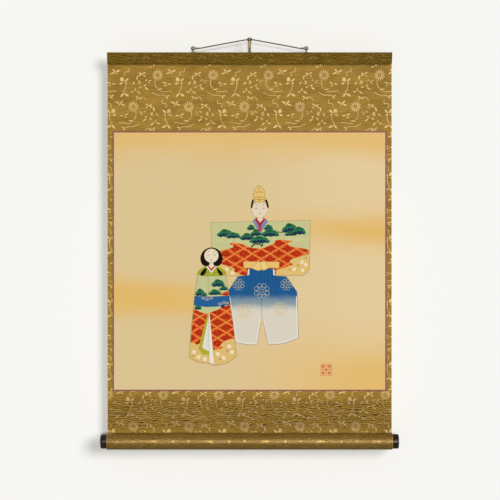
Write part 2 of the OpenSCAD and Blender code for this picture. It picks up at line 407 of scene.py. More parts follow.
binding = binding_tree()
BOUND_LENGTH, LOOP_R, LOOP_Z = 5.2 * MM, 2.4 * MM, -12.8 * MM
for side, name in ((-1, "left"), (1, "right")):
    eyelet_low, eyelet_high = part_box(name + "_eyelet")
    centre_x = (eyelet_low.x + eyelet_high.x) / 2
    circle = [(centre_x + LOOP_R * cos(a), 0, LOOP_Z + LOOP_R * sin(a)) for a in around(28)]
    loop = settle(curve_through("loop", circle, cyclic=True), plied, "loop",
                  Lay_length=2 * pi * LOOP_R / 3, **YARNS)
    inner_x = 80 * side * MM
    barrel = settle(curve_through("seed", [(0, 0, 0), (0, 0, MM)]), binding, "barrel",
                    Turns=11.0, Radius=1.35 * MM, Length=BOUND_LENGTH, Thread=pale_yarn)
    start = inner_x if side > 0 else inner_x - BOUND_LENGTH
    barrel.data.transform(Matrix.Translation((start, 0, LOOP_Z)))
    doubled = settle(curve_through("doubled", [(inner_x, 0, LOOP_Z),
                                               (centre_x - side * LOOP_R, 0, LOOP_Z)]),
                     plied, "doubled", Yarn_radius=0.65 * MM, Lay_radius=0.55 * MM, **YARNS)
    tied = smooth_shaded(joined(name + "_tied_end", [loop, barrel, doubled]))
    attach(tied, "hanging_cord")
    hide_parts(name + "_cord_loop")
    print(tied.name, len(tied.data.polygons), "faces")

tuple(cord_route[0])
[tuple(p) for p in curved(cord_route)]

# %% [markdown]
# ## The tying cord
# A flat braid, under five millimetres wide, hangs from the middle of the hanging cord. It is
# wound round the rolled scroll to keep it shut. A flat braid shows chevrons: two sets of yarns
# that meet in the middle. They are drawn from the braid's own map, across and along.

# %% Braid finish
def braid_build(tree):
    apart = add(tree, "ShaderNodeSeparateXYZ", {0: cloth_place(tree)}).outputs
    across = calc(tree, "ABSOLUTE", apart[0])
    chevron = add(tree, "ShaderNodeCombineXYZ", {0: calc(tree, "ADD", apart[1], across)}).outputs[0]
    # Ridges 1.7 mm apart, as on a hand-made flat braid
    ridge = wave(tree, chevron, 1.7, "X")
    edge = between(tree, across, 0.9 * MM, 2.0 * MM)
    colour = blended(tree, edge, "#e2c496", "#6a5842")
    shaded = blended(tree, between(tree, ridge, 0.1, 0.7), "#7d6648", colour)
    return {"Base Color": shaded, "Normal": bump(tree, ridge, 0.8, 0.25)}


braid = surface("flat silk braid", braid_build,
                sockets={"Roughness": 0.55, "Sheen Weight": 0.25, "Sheen Roughness": 0.4})

# %% A flat cord swept along a route
def oval(width, thickness, count=16):
    """A flat cord's section: an oval with full edges."""
    made = []
    for a in around(count):
        c, s = cos(a), sin(a)
        made.append((width / 2 * math.copysign(abs(c) ** 0.6, c),
                     thickness / 2 * math.copysign(abs(s) ** 0.6, s)))
    return made


def flat_cord(name, route, side, section, material, closed=False, width=None):
    """A closed tube. side is the direction in which it is wide, and width(z) a share of its full
    width. Its map is across and along."""
    p = [Vector(q) for q in route]
    side, last, count = Vector(side), len(p) - 1, len(section)
    verts, places, run = [], [], 0.0
    for k, here in enumerate(p):
        after = p[(k + 1) % len(p)] if closed else p[min(k + 1, last)]
        before = p[k - 1] if closed else p[max(k - 1, 0)]
        up = (after - before).cross(side).normalized()
        run += (here - p[k - 1]).length if k else 0
        share = width(here.z) if width else 1
        verts += [here + side * w * share + up * t for w, t in section]
        places += [(w, run) for w, t in section]
    steps = len(p) if closed else last
    faces = [(k * count + s, (k + 1) % len(p) * count + s,
              (k + 1) % len(p) * count + (s + 1) % count, k * count + (s + 1) % count)
             for k in range(steps) for s in range(count)]
    if not closed:
        faces += [tuple(range(count)), tuple(last * count + s for s in reversed(range(count)))]
    mesh = bpy.data.meshes.new(name)
    mesh.from_pydata([tuple(v) for v in verts], [], faces)
    layer = mesh.uv_layers.new(name="cloth")
    for corner in mesh.loops:
        layer.data[corner.index].uv = places[corner.vertex_index]
    mesh.materials.append(material)
    return outward(placed(name, mesh))


def outward(obj):
    work = bmesh.new()
    work.from_mesh(obj.data)
    bmesh.ops.recalc_face_normals(work, faces=work.faces[:])
    work.to_mesh(obj.data)
    work.free()
    return obj


TIE_BEND_MM = [(0, -5), (0, -6.5), (0.9, -9), (3, -12), (6, -15), (8.9, -18), (10.7, -21),
               (11.3, -24), (11.3, -30)]
tie_low, tie_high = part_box("tie_cord")
tie_end_low, tie_end_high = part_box("tie_end")
tie_width, tie_thickness = tie_high.x - tie_low.x, 1.4 * MM
tie_route = [(0, y * MM, z * MM) for y, z in TIE_BEND_MM]
tie_route += [(0, tie_route[-1][1], z * MM) for z in range(-45, -556, -15)]
tie_path = curved(tie_route, 5)
PINCH_Z = -12.4 * MM


def pinched(z):
    """The braid is doubled just below its hitch and bound there, which draws it in."""
    return 1 - 0.45 * math.exp(-((z - PINCH_Z) / (1.7 * MM)) ** 2)


tie = smooth_shaded(flat_cord("tying_braid", tie_path, (1, 0, 0), oval(tie_width, tie_thickness),
                              braid, width=pinched))
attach(tie, "tie")
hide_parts("tie_cord")
print(f"tying cord {1000 * length_of(tie_route):.0f} mm")

# %% [markdown]
# The braid's upper end is taken round the hanging cord, between two crossing turns of dark silk,
# and stitched down on itself. Its lower end is folded over and bound, so that it can't fray.

# %% Hitch and stitched end
CORD_MIDDLE_Z, TURN_SPREAD, COLLAR_R = 1.1 * MM, 2.9 * MM, 2.9 * MM
turns = []
for spread, radius, finish in ((-TURN_SPREAD, 2.1 * MM, dark_yarn),
                               (TURN_SPREAD, 2.35 * MM, dark_yarn), (0, 2.6 * MM, braid)):
    ring = [(spread * sin(a), radius * sin(a), CORD_MIDDLE_Z + radius * cos(a))
            for a in around(26)]
    turns.append(flat_cord("turn", ring, (1, 0, 0), oval(2.3 * MM, 1.4 * MM, 12), finish, True))
collar_ring = [(COLLAR_R * cos(a), COLLAR_R * sin(a), (0.5 + 0.7 * cos(a)) * MM)
               for a in around(26)]
turns.append(settle(curve_through("collar", collar_ring, cyclic=True), plied, "collar",
                    Yarn_radius=0.42 * MM, Lay_radius=0.4 * MM, Lay_length=4.6 * MM, **YARNS))
neck = [(0, 0, -0.6 * MM), (0, 0, -2.2 * MM), (0, 0, -3.6 * MM), (0, 0, -5 * MM)]
turns.append(flat_cord("neck", neck, (1, 0, 0), oval(5.2 * MM, 1.9 * MM), braid))


def bound(name, height, wide, deep, y, z, turn_count):
    """A dark thread bound round a flat cord: the same helix, stood up and pressed to an oval."""
    made = settle(curve_through("seed", [(0, 0, 0), (0, 0, MM)]), binding, name,
                  Turns=float(turn_count), Radius=MM, Length=height, Thread=dark_yarn)
    for v in made.data.vertices:
        v.co = (v.co.y * wide / MM, y + v.co.z * deep / MM, z - v.co.x)
    return outward(made)


PINCH_Y = 3.6 * MM
pinch_binding = smooth_shaded(bound("pinch_binding", 1.6 * MM, 1.6 * MM, 1.1 * MM, PINCH_Y,
                                    PINCH_Z + 0.8 * MM, 3))
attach(pinch_binding, "tie")
hitch = smooth_shaded(joined("tying_hitch", turns))
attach(hitch, "tie")
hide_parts("tie_hitch")
end_route = [(0, tie_route[-1][1], z) for z in np.linspace(tie_end_high.z, tie_end_low.z, 6)]
end_braid = flat_cord("fold", end_route, (1, 0, 0), oval(tie_width + 0.4 * MM, 1.9 * MM), braid)
end_binding = bound("end_binding", 2.4 * MM, 2.5 * MM, 0.95 * MM, tie_route[-1][1],
                    tie_end_high.z - 1.2 * MM, 5)
stitched = smooth_shaded(joined("stitched_end", [end_braid, end_binding]))
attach(stitched, "tie")
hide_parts("tie_end")
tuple(tie_route[0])
[tuple(p) for p in tie_path]
print("hitch and stitched end made")

# %% [markdown]
# ## Flat work
# Brocade figures, fillets and paint are all thin shapes on a flat cloth. Each is drawn flat, in
# millimetres across and up, then given a thickness, and only then laid on its cloth. The same
# drawing can so lie on the hanging sheet, on the roller or on the stave. A point keeps its flat
# place in the map "cloth", which the weaves and washes use.

# %% Outlines in millimetres
def arc(x, y, rx, ry=None, start=0, end=360, count=24):
    """Points on an oval or part of one. A full one doesn't repeat its first point."""
    ry = rx if ry is None else ry
    angles = np.linspace(radians(start), radians(end), count,
                         endpoint=abs(end - start) < 360)
    return [(x + rx * cos(a), y + ry * sin(a)) for a in angles]


def soft(points, rounds=2, closed=True):
    """The same outline with its corners cut, by Chaikin's rule."""
    for _ in range(rounds):
        pairs = list(zip(points, points[1:] + points[:1] if closed else points[1:]))
        made = [] if closed else [points[0]]
        for (a, b), (c, d) in pairs:
            made += [(a * 0.75 + c * 0.25, b * 0.75 + d * 0.25),
                     (a * 0.25 + c * 0.75, b * 0.25 + d * 0.75)]
        points = made if closed else made + [points[-1]]
    return points


def lens(x0, y0, x1, y1, width, count=5):
    """A petal or a leaf from one point to the other."""
    dx, dy = x1 - x0, y1 - y0
    length = math.hypot(dx, dy)
    sides = []
    for sign in (1, -1):
        ts = [k / count for k in range(count + 1)]
        ts = ts if sign > 0 else ts[-2:0:-1]
        for t in ts:
            w = sign * width / 2 * sin(pi * t) ** 0.8 / length
            sides.append((x0 + dx * t - dy * w, y0 + dy * t + dx * w))
    return sides


def fill(points):
    return points, [tuple(range(len(points)))]


def stroke(points, width, closed=False):
    """A line of some width. A pair of widths makes it taper."""
    w0, w1 = width if isinstance(width, tuple) else (width, width)
    p, count, verts = [Vector(q) for q in points], len(points), []
    for k, here in enumerate(p):
        before = p[k - 1] if closed or k else here
        after = p[(k + 1) % count] if closed or k < count - 1 else here
        way = (here - before).normalized() + (after - here).normalized()
        way = way.normalized() if way.length > 1e-6 else (after - here).normalized()
        size = (w0 + (w1 - w0) * k / max(count - 1, 1)) / 2
        verts += [(here.x - way.y * size, here.y + way.x * size),
                  (here.x + way.y * size, here.y - way.x * size)]
    steps = count if closed else count - 1
    faces = [(2 * k, 2 * k + 1, (2 * k + 3) % (2 * count), (2 * k + 2) % (2 * count))
             for k in range(steps)]
    return verts, faces


# %% From flat drawings to thin solids
def flat_mesh(name, drawings, step_mm, base_mm=0.0):
    """drawings: (verts, faces), level, finish number and colour. Across is x, up is y."""
    work = bmesh.new()
    dye = work.verts.layers.float_color.new("pigment")
    for (verts, faces), level, finish, colour in drawings:
        corners = [work.verts.new((x * MM, y * MM, (base_mm + level * step_mm) * MM))
                   for x, y in verts]
        for corner in corners:
            corner[dye] = linear(colour)
        for face in faces:
            work.faces.new([corners[i] for i in face]).material_index = finish
    bmesh.ops.triangulate(work, faces=[f for f in work.faces if len(f.verts) > 4])
    return mesh_from(work, name)


def split(work, at, axis, away=0):
    """Cuts along a line across the axis, and drops what lies above it (1) or below it (-1)."""
    point, normal = [0, 0, 0], [0, 0, 0]
    point[axis], normal[axis] = at, away or 1
    bmesh.ops.bisect_plane(work, geom=work.verts[:] + work.edges[:] + work.faces[:], dist=1e-6,
                           plane_co=point, plane_no=normal, clear_outer=bool(away))


def cropped(mesh, x_low, x_high, y_low, y_high):
    work = bmesh.new()
    work.from_mesh(mesh)
    for at, axis, away in ((x_low, 0, -1), (x_high, 0, 1), (y_low, 1, -1), (y_high, 1, 1)):
        split(work, at, axis, away)
    return work


def thin_solid(name, work, depth_mm, place, materials, rows=()):
    """Scores the flat work at the rows, gives it a depth and puts it where place() says."""
    for at in rows:
        split(work, at, 1)
    back = bmesh.ops.extrude_face_region(work, geom=work.faces[:], use_keep_orig=True)
    for part in back["geom"]:
        if isinstance(part, bmesh.types.BMVert):
            part.co.z -= depth_mm * MM
    chart = work.loops.layers.uv.get("cloth") or work.loops.layers.uv.new("cloth")
    for face in work.faces:
        for corner in face.loops:
            corner[chart].uv = corner.vert.co.xy
    for vert in work.verts:
        vert.co = place(*vert.co)
    bmesh.ops.recalc_face_normals(work, faces=work.faces[:])
    mesh = mesh_from(work, name)
    for m in materials:
        mesh.materials.append(m)
    return placed(name, mesh)


def on_sheet(x, y, depth):
    return x, front_y - depth, y


print("flat work is ready")

# %% [markdown]
# ## Brocade
# The mounting cloth is a silk brocade: a dull gold-brown twill, with chrysanthemums, buds,
# tendrils and leaves floated on it in paler gold thread. A woven figure repeats, and every second
# row is set over by part of the repeat and turned round. So one unit is drawn, and Geometry Nodes
# repeat it.

# %% Brocade finishes
def twill(tree, place):
    """The twill's fine diagonal, about 1.6 lines to the millimetre, and its slubs."""
    lines = wave(tree, place, 0.62, "DIAGONAL", 0.6)
    slubs = noise(tree, stretched(tree, place, 60, 1300), 1, 3)
    return calc(tree, "ADD", calc(tree, "MULTIPLY", lines, 0.45),
                calc(tree, "MULTIPLY", slubs, 0.8))


def ground_finish(name, dark, pale, deep, place_of, shade_strength, gloss):
    """The function given after place_of says how strongly dark waves of painted shade show, from 0
    to 1. deep is the painted shade's colour.
    """
    def build(tree):
        place = place_of(tree)
        threads = twill(tree, place)
        uneven = noise(tree, stretched(tree, place, 22, 60), 1, 4)
        weft = noise(tree, stretched(tree, place, 70, 420), 1, 2)
        mixed = calc(tree, "ADD", calc(tree, "MULTIPLY", threads, 0.5),
                     calc(tree, "ADD", calc(tree, "MULTIPLY", uneven, 0.35),
                          calc(tree, "MULTIPLY", weft, 0.3)))
        plain = blended(tree, between(tree, mixed, 0.42, 0.92), dark, pale)
        waves = wave(tree, place, 3.2, "Y", 10.0)
        # Painted shade: dark wavy bands that darken the colour and also dip the bump
        shaded_valley = calc(tree, "MULTIPLY", between(tree, waves, 0.62, 0.12), shade_strength(tree))
        height = calc(tree, "SUBTRACT", threads, calc(tree, "MULTIPLY", shaded_valley, 1.2))
        return {"Base Color": blended(tree, shaded_valley, plain, deep),
                "Normal": bump(tree, height, 0.35, 0.08)}
    return surface(name, build, sockets=gloss)


def painted_foot_shade(tree):
    """Where painted shade darkens the cloth: 0 on the upper brocade and 1 in the middle of the
    lower one.
    """
    up = add(tree, "ShaderNodeSeparateXYZ", {0: cloth_place(tree)}).outputs[1]
    middle = (frame_low.z + tail_top) / 2 - 0.002
    return between(tree, calc(tree, "ABSOLUTE", calc(tree, "SUBTRACT", up, middle)), 0.034, 0.014)


def figure_finish(name, dark, pale, dulled, gloss):
    def build(tree):
        place = cloth_place(tree)
        floats = wave(tree, place, 0.5, "Y", 0.4)
        uneven = noise(tree, place, 90, 2)
        bright = blended(tree, between(tree, uneven, 0.3, 0.7), dark, pale)
        # Painted shade: the figures darken towards the dulled colour in the middle of the lower
        # brocade
        share = calc(tree, "MULTIPLY", painted_foot_shade(tree), 0.8)
        return {"Base Color": blended(tree, share, bright, dulled),
                "Normal": bump(tree, floats, 0.3, 0.06)}
    return surface(name, build, sockets=gloss)


SATIN = {"Roughness": 0.5, "Specular IOR Level": 0.1}
GLOSSY = {"Roughness": 0.44, "Metallic": 0.4}
# Painted shade: dark waves, faint all over the sheet's brocade and strong in the middle of its
# lower panel
def foot_shade_strength(tree):
    return calc(tree, "ADD", calc(tree, "MULTIPLY", painted_foot_shade(tree), 0.85), 0.1)


# 4f3704 is painted shade, the colour of the dark waves
brocade = ground_finish("brown-gold silk twill", "#80601c", "#bd9538", "#4f3704", cloth_place,
                        foot_shade_strength, SATIN)
# Painted shade: the stave's cloth and its covered ends are darker copies of the brocade, with
# strong dark waves
stave_brocade = ground_finish("brown-gold silk twill darkened with painted shade", "#6b5010", "#9b7a2c",
                              "#4d3703", cloth_place, lambda tree: 0.9, SATIN)
end_brocade = ground_finish("brown-gold silk twill on the stave's ends", "#6b5010", "#9b7a2c",
                            "#4d3703", own_place, lambda tree: 0.9, SATIN)
# Round the roller the warp floats run over the curve and flash where they face the light.
# Its colours are darker copies of the brocade's, and its dark waves stronger: painted shade.
roller_brocade = ground_finish("brown-gold silk twill stretched round a curve", "#7c5f1e",
                               "#ab883c", "#5f450f", cloth_place,
                               lambda tree: 0.7, GLOSSY)
# 8a6a2c is painted shade, for the figures in the middle of the lower brocade
gold_thread = figure_finish("pale gold figure thread", "#c49d4b", "#e0bd66", "#8a6a2c",
                            {"Roughness": 0.4, "Sheen Weight": 0.15})
# Painted shade: darker copies of the figure thread, for the stave and for the roller
shaded_thread = figure_finish("pale gold figure thread darkened with painted shade", "#775a20", "#947331",
                              "#775a20", {"Roughness": 0.45})
roller_thread = figure_finish("gold figure thread stretched round a curve", "#85662a", "#b08c48",
                              "#85662a", {"Roughness": 0.3, "Metallic": 0.6})

# %% One unit of the figure
UNIT_WIDTH, UNIT_HEIGHT, UNIT_SHIFT = 87, 49.5, -38
LEAVES_MM = [
    # beside the chrysanthemum
    (-1, -23, 8, -21.6, 1.7), (7.6, -11, 14, -13.2, 1.9), (15, -13.5, 21.5, -14.6, 1.9),
    (9.7, -17.4, 14, -15.6, 1.5), (12.5, 1.4, 21, 4.9, 2), (16, 9.7, 21, 4.9, 2.2),
    (21, 4.9, 29, 8, 2.4), (20, 4, 24.5, 1.5, 1.4),
    # the bud and its leaf pair
    (31, -3, 29.5, -10, 3.4), (31, -3, 33.5, -10.5, 3.4), (35.4, -10.4, 41.5, -4.6, 2.6),
    (33, -12, 26.5, -14.2, 2.4), (36, -11, 39.5, -14, 1.6), (34.4, -28, 28.5, -34.7, 2.6),
    (34.4, -29, 42.6, -33.4, 2.8), (34.6, -27.5, 33, -24.6, 1.5),
    # sprigs of three or four leaves
    (54, -8, 55.8, 0, 2), (57.4, 3.8, 64, 0.4, 2), (51.8, -10.2, 47.6, -15, 2),
    (56, -9.4, 60.4, -12.8, 1.9), (52, -25, 52, -20.4, 1.8), (50.8, -25.6, 45, -26.8, 1.8),
    (54, -25, 60.8, -29.4, 2), (65, -17.4, 69.4, -14.8, 1.8), (57.4, -20.4, 62.4, -17.6, 1.6),
    (66.4, -18.6, 72.6, -23.2, 2), (-24, 1.8, -18.6, 4.6, 1.8), (-25, 1.2, -30, -1.6, 1.8),
    (-22.6, 0.6, -19, -3, 1.5), (-8, 14, -3.6, 16.8, 1.7), (-9, 13.4, -13.6, 12, 1.7),
    (14, -33.5, 19, -31.6, 1.8), (13, -34, 16.6, -37.2, 1.6), (-20, -9, -15.8, -7, 1.6)]
VINES_MM = [
    [(-3.6, -6.8), (-4.6, -12.5), (-3.4, -17), (-0.6, -21)],
    [(4, -25.6), (9, -26.6), (15, -25.4), (23, -25)],
    [(36.4, -12), (37.6, -17.4), (35.2, -24.4)],
    [(41.6, 11), (42.4, 8), (42, 4.6), (39.4, 5.4), (35.4, 4.4), (34.2, 0.6), (36.6, -1.8)],
    [(-9.4, -9), (-11.6, -7.8), (-14, -9.6), (-13.6, -12.4), (-11, -12.6)],
    [(70, -40), (66, -34), (58, -35), (53, -39)],
    [(-9, -27), (-4, -29.5), (1, -32), (8, -31), (14, -33.5)],
    [(-30, -8), (-27, -11), (-28.6, -14.4), (-32, -13)]]
shapes = [fill(lens(2.5 * cos(a), 2.5 * sin(a), 9 * cos(a), 9 * sin(a),
                    1.75, 4)) for a in around(12, 0.2)]
shapes += [fill(arc(1.3 * cos(a), 1.3 * sin(a), 0.5, count=6))
           for a in around(5)]
shapes += [fill(lens(*leaf[:4], 1.18 * leaf[4], 4)) for leaf in LEAVES_MM]
shapes += [stroke(soft(vine, 2, False), 0.9) for vine in VINES_MM]
# Shapes that touch lie at slightly different heights, as crossing floats do
unit_drawings = [(shape, k % 5, 0, "#ffffff") for k, shape in enumerate(shapes)]
unit = placed("figure_unit", flat_mesh("figure_unit", unit_drawings, 0.015))


# %% The tree that repeats it
def repeat_tree():
    tree = start_tree("half-drop repeat")
    input_socket(tree, "Unit", "NodeSocketObject")
    for name, value in (("Columns", 8), ("Rows", 4)):
        input_socket(tree, name, "NodeSocketInt", value)
    for name, value in (("Width", UNIT_WIDTH * MM), ("Height", UNIT_HEIGHT * MM),
                        ("Shift", UNIT_SHIFT * MM)):
        input_socket(tree, name, "NodeSocketFloat", value)
    input_socket(tree, "Thread", "NodeSocketMaterial")
    given = add(tree, "NodeGroupInput").outputs
    columns = calc(tree, "SUBTRACT", given["Columns"], 1)
    rows = calc(tree, "SUBTRACT", given["Rows"], 1)
    tall = calc(tree, "MULTIPLY", rows, given["Height"])
    grid = add(tree, "GeometryNodeMeshGrid",
               {"Size X": calc(tree, "MULTIPLY", columns, given["Width"]), "Size Y": tall,
                "Vertices X": given["Columns"], "Vertices Y": given["Rows"]})
    place = add(tree, "ShaderNodeSeparateXYZ",
                {0: add(tree, "GeometryNodeInputPosition").outputs[0]}).outputs
    below = calc(tree, "SUBTRACT", calc(tree, "DIVIDE", tall, 2), place[1])
    row = calc(tree, "ROUND", calc(tree, "DIVIDE", below, given["Height"]))
    odd = calc(tree, "MODULO", row, 2)
    over = add(tree, "ShaderNodeCombineXYZ", {0: calc(tree, "MULTIPLY", odd, given["Shift"])})
    moved = add(tree, "GeometryNodeSetPosition", {0: grid.outputs[0], "Offset": over.outputs[0]})
    shape = add(tree, "GeometryNodeObjectInfo", {"Object": given["Unit"]})
    turn = calc(tree, "SUBTRACT", 1.0, calc(tree, "MULTIPLY", odd, 2))
    mirror = add(tree, "ShaderNodeCombineXYZ", {0: turn, 1: 1.0, 2: 1.0})
    copies = add(tree, "GeometryNodeInstanceOnPoints",
                 {"Points": moved.outputs[0], "Instance": shape.outputs["Geometry"],
                  "Scale": mirror.outputs[0]})
    real = add(tree, "GeometryNodeRealizeInstances", {0: copies.outputs[0]})
    woven = add(tree, "GeometryNodeSetMaterial", {0: real.outputs[0],
                                                  "Material": given["Thread"]})
    add(tree, "NodeGroupOutput", {0: woven.outputs[0]})
    return tree


half_drop = repeat_tree()


def figures(x, top, bottom, thread, height_mm, shift_mm=UNIT_SHIFT):
    """Flat figures from top to bottom, as a mesh. x is where one chrysanthemum stands."""
    rows = int((top - bottom) / (UNIT_HEIGHT * MM)) + 3
    seed = placed("seed", bpy.data.meshes.new("seed"))
    made = settle(seed, half_drop, "repeat", Unit=unit, Columns=8, Rows=rows,
                  Shift=shift_mm * MM, Thread=thread)
    middle = top - (rows - 1) * UNIT_HEIGHT * MM / 2
    made.data.transform(Matrix.Translation((x, middle, height_mm * MM)))
    mesh = made.data
    bpy.data.objects.remove(made)
    return mesh


sheet_figures = figures(-0.0137, -0.0535, -0.64, gold_thread, 0.08)
# The lower brocade is a cut of its own, so its figures don't continue the upper one's
foot_figures = figures(-0.0047, -0.5545, -0.64, gold_thread, 0.08, -47)
print("figure repeat:", len(sheet_figures.polygons), "faces")

# %% [markdown]
# ## The painting
# Mineral pigments lie on sized silk as thin, even, matt layers, and ink lines follow their edges.
# The motif is a traditional one, a pair of paper dolls in court dress, drawn here as flat shapes.
# Places are in millimetres from the painting's middle and lower edge. A higher level lies on a
# lower one, 0.015 mm apart.

# %% Painting tools
INK, GOLD_LINE = "#57493a", "#e0b765"
painting = []


def lay(points, level, colour, finish=0):
    painting.append((fill(points), level, finish, colour))


def draw(points, level, colour=INK, width=0.45, closed=False):
    painting.append((stroke(points, width, closed), level, 0, colour))


def outlined(points, level, colour, finish=0, ink=INK, width=0.45):
    lay(points, level, colour, finish)
    draw(points, level + 1, ink, width, True)


def pine(x0, x1, low, high, level):
    """A clump of pine: a green crown, its navy underside, and pale needle edges."""
    w, h = x1 - x0, high - low
    crown = [(0, .2), (.06, .5), (.2, .62), (.3, .92), (.5, 1), (.68, .84), (.8, .82), (.93, .5),
             (1, .22), (.88, .06), (.72, .16), (.56, .02), (.4, .14), (.24, .0), (.12, .12)]
    under = [(.12, .22), (.22, .44), (.34, .4), (.44, .56), (.58, .46), (.7, .52), (.86, .28),
             (.84, .12), (.7, .2), (.56, .08), (.4, .18), (.25, .06)]

    def put(points, rounds=2):
        return soft([(x0 + u * w, low + v * h) for u, v in points], rounds)
    lay(put(crown), level, "#26704a")
    draw(put(crown), level + 1, "#6f9f68", 0.35, True)
    lay(put([(.3, .6), (.4, .86), (.55, .9), (.68, .7), (.55, .76), (.42, .7)]), level + 1,
        "#1b4a2c")
    lay(put(under), level + 1, "#17294d")
    for u in (.2, .36, .5, .64, .8):
        draw([(x0 + u * w, low + .3 * h), (x0 + (u - .03) * w, low + .62 * h)], level + 2,
             "#4d8f63", (0.5, 0.2))


def crest(x, y, r, level, colour, width=0.55):
    """A round crest of eight loops about a ring."""
    draw(arc(x, y, 0.2 * r, count=12), level, colour, width, True)
    for k in range(8):
        a = radians(45 * k + 22.5)
        draw(arc(x + 0.7 * r * cos(a), y + 0.7 * r * sin(a), 0.24 * r, count=12), level,
             colour, width, True)
        b = radians(45 * k)
        draw([(x + 0.28 * r * cos(b), y + 0.28 * r * sin(b)),
              (x + 0.62 * r * cos(b), y + 0.62 * r * sin(b))], level, colour, width)


def blossom(x, y, r, level, colour="#f1e6c8"):
    """Five round petals and a dot."""
    for k in range(5):
        a = radians(72 * k + 18)
        lay(arc(x + 0.55 * r * cos(a), y + 0.55 * r * sin(a), 0.45 * r, count=10),
            level + 0.2 * k, colour)
    lay(arc(x, y, 0.2 * r, count=8), level + 1.2, "#c59a4c")


def leaf_sprig(x, y, level, colour="#a8923f"):
    for k, a in enumerate((20, 75, 140)):
        c, s = cos(radians(a)), sin(radians(a))
        lay(lens(x, y, x + 3.4 * c, y + 3.4 * s, 1.2, 4), level + 0.2 * k, colour)


# %% The taller doll: robe
ROBE = [(-61, 262), (95, 265.5), (94, 192), (91, 184), (84, 179), (40, 178.5), (-5, 178.5),
        (-58, 178)]
lay(ROBE, 1, "#c9c68e")
for x, y in ((-47, 234), (-30, 233), (-20, 232), (60, 237), (74, 236), (40, 236)):
    lay(soft([(x - 6, y), (x, y + 2.4), (x + 7, y + 1), (x + 5, y - 3), (x - 4, y - 2.6)]), 2,
        "#cdcb97")
lay([(94, 211), (70, 205), (60, 196), (40, 187), (40, 178.5), (84, 179), (91, 184), (94, 192)], 2,
    "#e3bf74")
lay([(-58.5, 200), (-30, 193), (-20, 184), (-5, 178.5), (-58, 178)], 2, "#e3bf74")
for x, y in ((82, 200), (88, 196), (70, 189), (83, 187), (-36, 189), (-27, 183), (-49, 190)):
    blossom(x, y, 3, 3)
for x, y in ((76, 194), (88, 205), (63, 187), (-30, 188), (-43, 183)):
    leaf_sprig(x, y, 3)
for spot in ((-4.4, 9, 249.5, 259, 3), (22, 37, 249.5, 259, 3), (-51.8, -25, 238.5, 252, 3),
             (-38, -13.3, 236.6, 247, 6), (-16, 9, 233.6, 246, 3), (1, 20, 240, 252, 3),
             (17, 47, 239, 252, 6), (50, 76, 245, 261.5, 3), (66, 88.5, 242, 256, 6),
             (54, 74, 240.6, 248, 6), (-1, 32.4, 228.6, 241, 9)):
    pine(*spot)
draw(soft([(38, 246), (42, 247.6), (49, 246.4), (57, 247.8)], 1, False), 5, "#241b14", 1.3)
draw(soft([(1.8, 222), (6, 227.5), (11.5, 229.2), (14.5, 227)], 2, False), 5, "#171310", 2.0)
draw(soft([(14.5, 229), (17.6, 227.4), (19, 223.6), (21, 230), (21.6, 232.4)], 1, False), 5,
     "#171310", 1.7)
LATTICE_ROBE = [
    (-60, 216), (-44, 218), (-27, 222.5), (-25, 225), (-33, 229), (-27, 230.5), (-13, 229),
    (-4, 224.5), (3, 222.5), (18, 221), (26, 224), (36, 228.5), (40, 230), (38, 233), (45, 235.7),
    (57, 234), (69, 233), (65, 231), (60.5, 229.5), (61, 226), (73, 223), (94, 220), (93.5, 212),
    (84, 209.5), (69, 205.5), (62, 201.5), (65.5, 198.5), (69, 196), (62, 193.5), (51, 189.5),
    (42, 187), (42, 182), (40, 178.6), (-5, 178.6), (-12, 179), (-17, 182), (-26, 185.5),
    (-22.5, 188.5), (-29, 191.5), (-43.5, 196.5), (-60, 200)]
outlined(soft(LATTICE_ROBE, 1), 8, "#c23a1e", 1, GOLD_LINE, 0.7)
draw([(-5, 178.6), *reversed(ROBE[7:]), *ROBE[:6]], 10, "#7c7350", 0.5)

# %% The taller doll: trousers, belt, collar, face and hat
HIPS = [(-2.5, 189.5), (38.9, 189.5), (40.2, 178.5), (57.4, 177.2), (64, 168), (74.1, 153.4),
        (75.6, 118), (76.8, 81.3), (66, 76.5), (53.9, 72.5), (41, 70.9), (28.8, 70.7),
        (24.5, 92), (19.1, 118.2), (15.6, 94), (11.6, 70.3), (-6, 70.8), (-22.3, 74.2),
        (-28, 114), (-33.3, 155.2), (-26, 166), (-18.7, 177.2), (-4.7, 179)]
outlined(HIPS, 10, "#1f5f92", 2, "#4f5a63", 0.5)
for x0, side in ((-2.2, 1), (38.6, -1)):
    lay([(x0, 189), (x0 + 2 * side, 189), (x0 + 1.4 * side, 179.6), (x0 - 1.4 * side, 179)], 12.5,
        "#ece6d8")
for x0, x1, y1 in ((2, -14, 152), (6, -4, 146), (10, 7, 150), (16, 15, 160), (22, 24, 160),
                   (28, 33, 148), (32, 42, 146), (36, 54, 152)):
    draw(soft([(x0, 187), ((x0 * 2 + x1) / 3, 176), (x1, y1)], 2, False), 12, "#174a74",
         (1.1, 0.4))
draw([(18.9, 186), (18.9, 139), (19.1, 118)], 12, "#33475a", 0.6)
for points in ([(-31, 146), (-26.6, 114), (-21, 76.4), (-6, 73), (10, 72.6), (17.4, 112)],
               [(21, 112), (30, 73), (41, 73.2), (54, 75), (74.6, 83), (73.4, 146)]):
    draw(points, 12, "#efeae0", (0.8, 1.4))
crest(19.1, 154.8, 13.2, 13, "#c3bb96")
crest(-17.4, 164.9, 10, 13, "#b9b28e")
crest(57.6, 164.9, 10, 13, "#b9b28e")
crest(-7.7, 122.6, 13, 13, "#dfc995", 0.7)
crest(47.7, 126.2, 12, 13, "#dcc796", 0.7)
outlined([(-10, 201), (46.7, 200.6), (46.3, 190.6), (-9.4, 190.8)], 13, "#e9c270", 0, "#6f5527")
outlined([(2.6, 190.4), (13.2, 201), (18.4, 199.8), (25, 190.8), (22.4, 186.4), (18.4, 187.8),
          (13.7, 186.2)], 15, "#edc979", 0, "#6f5527")
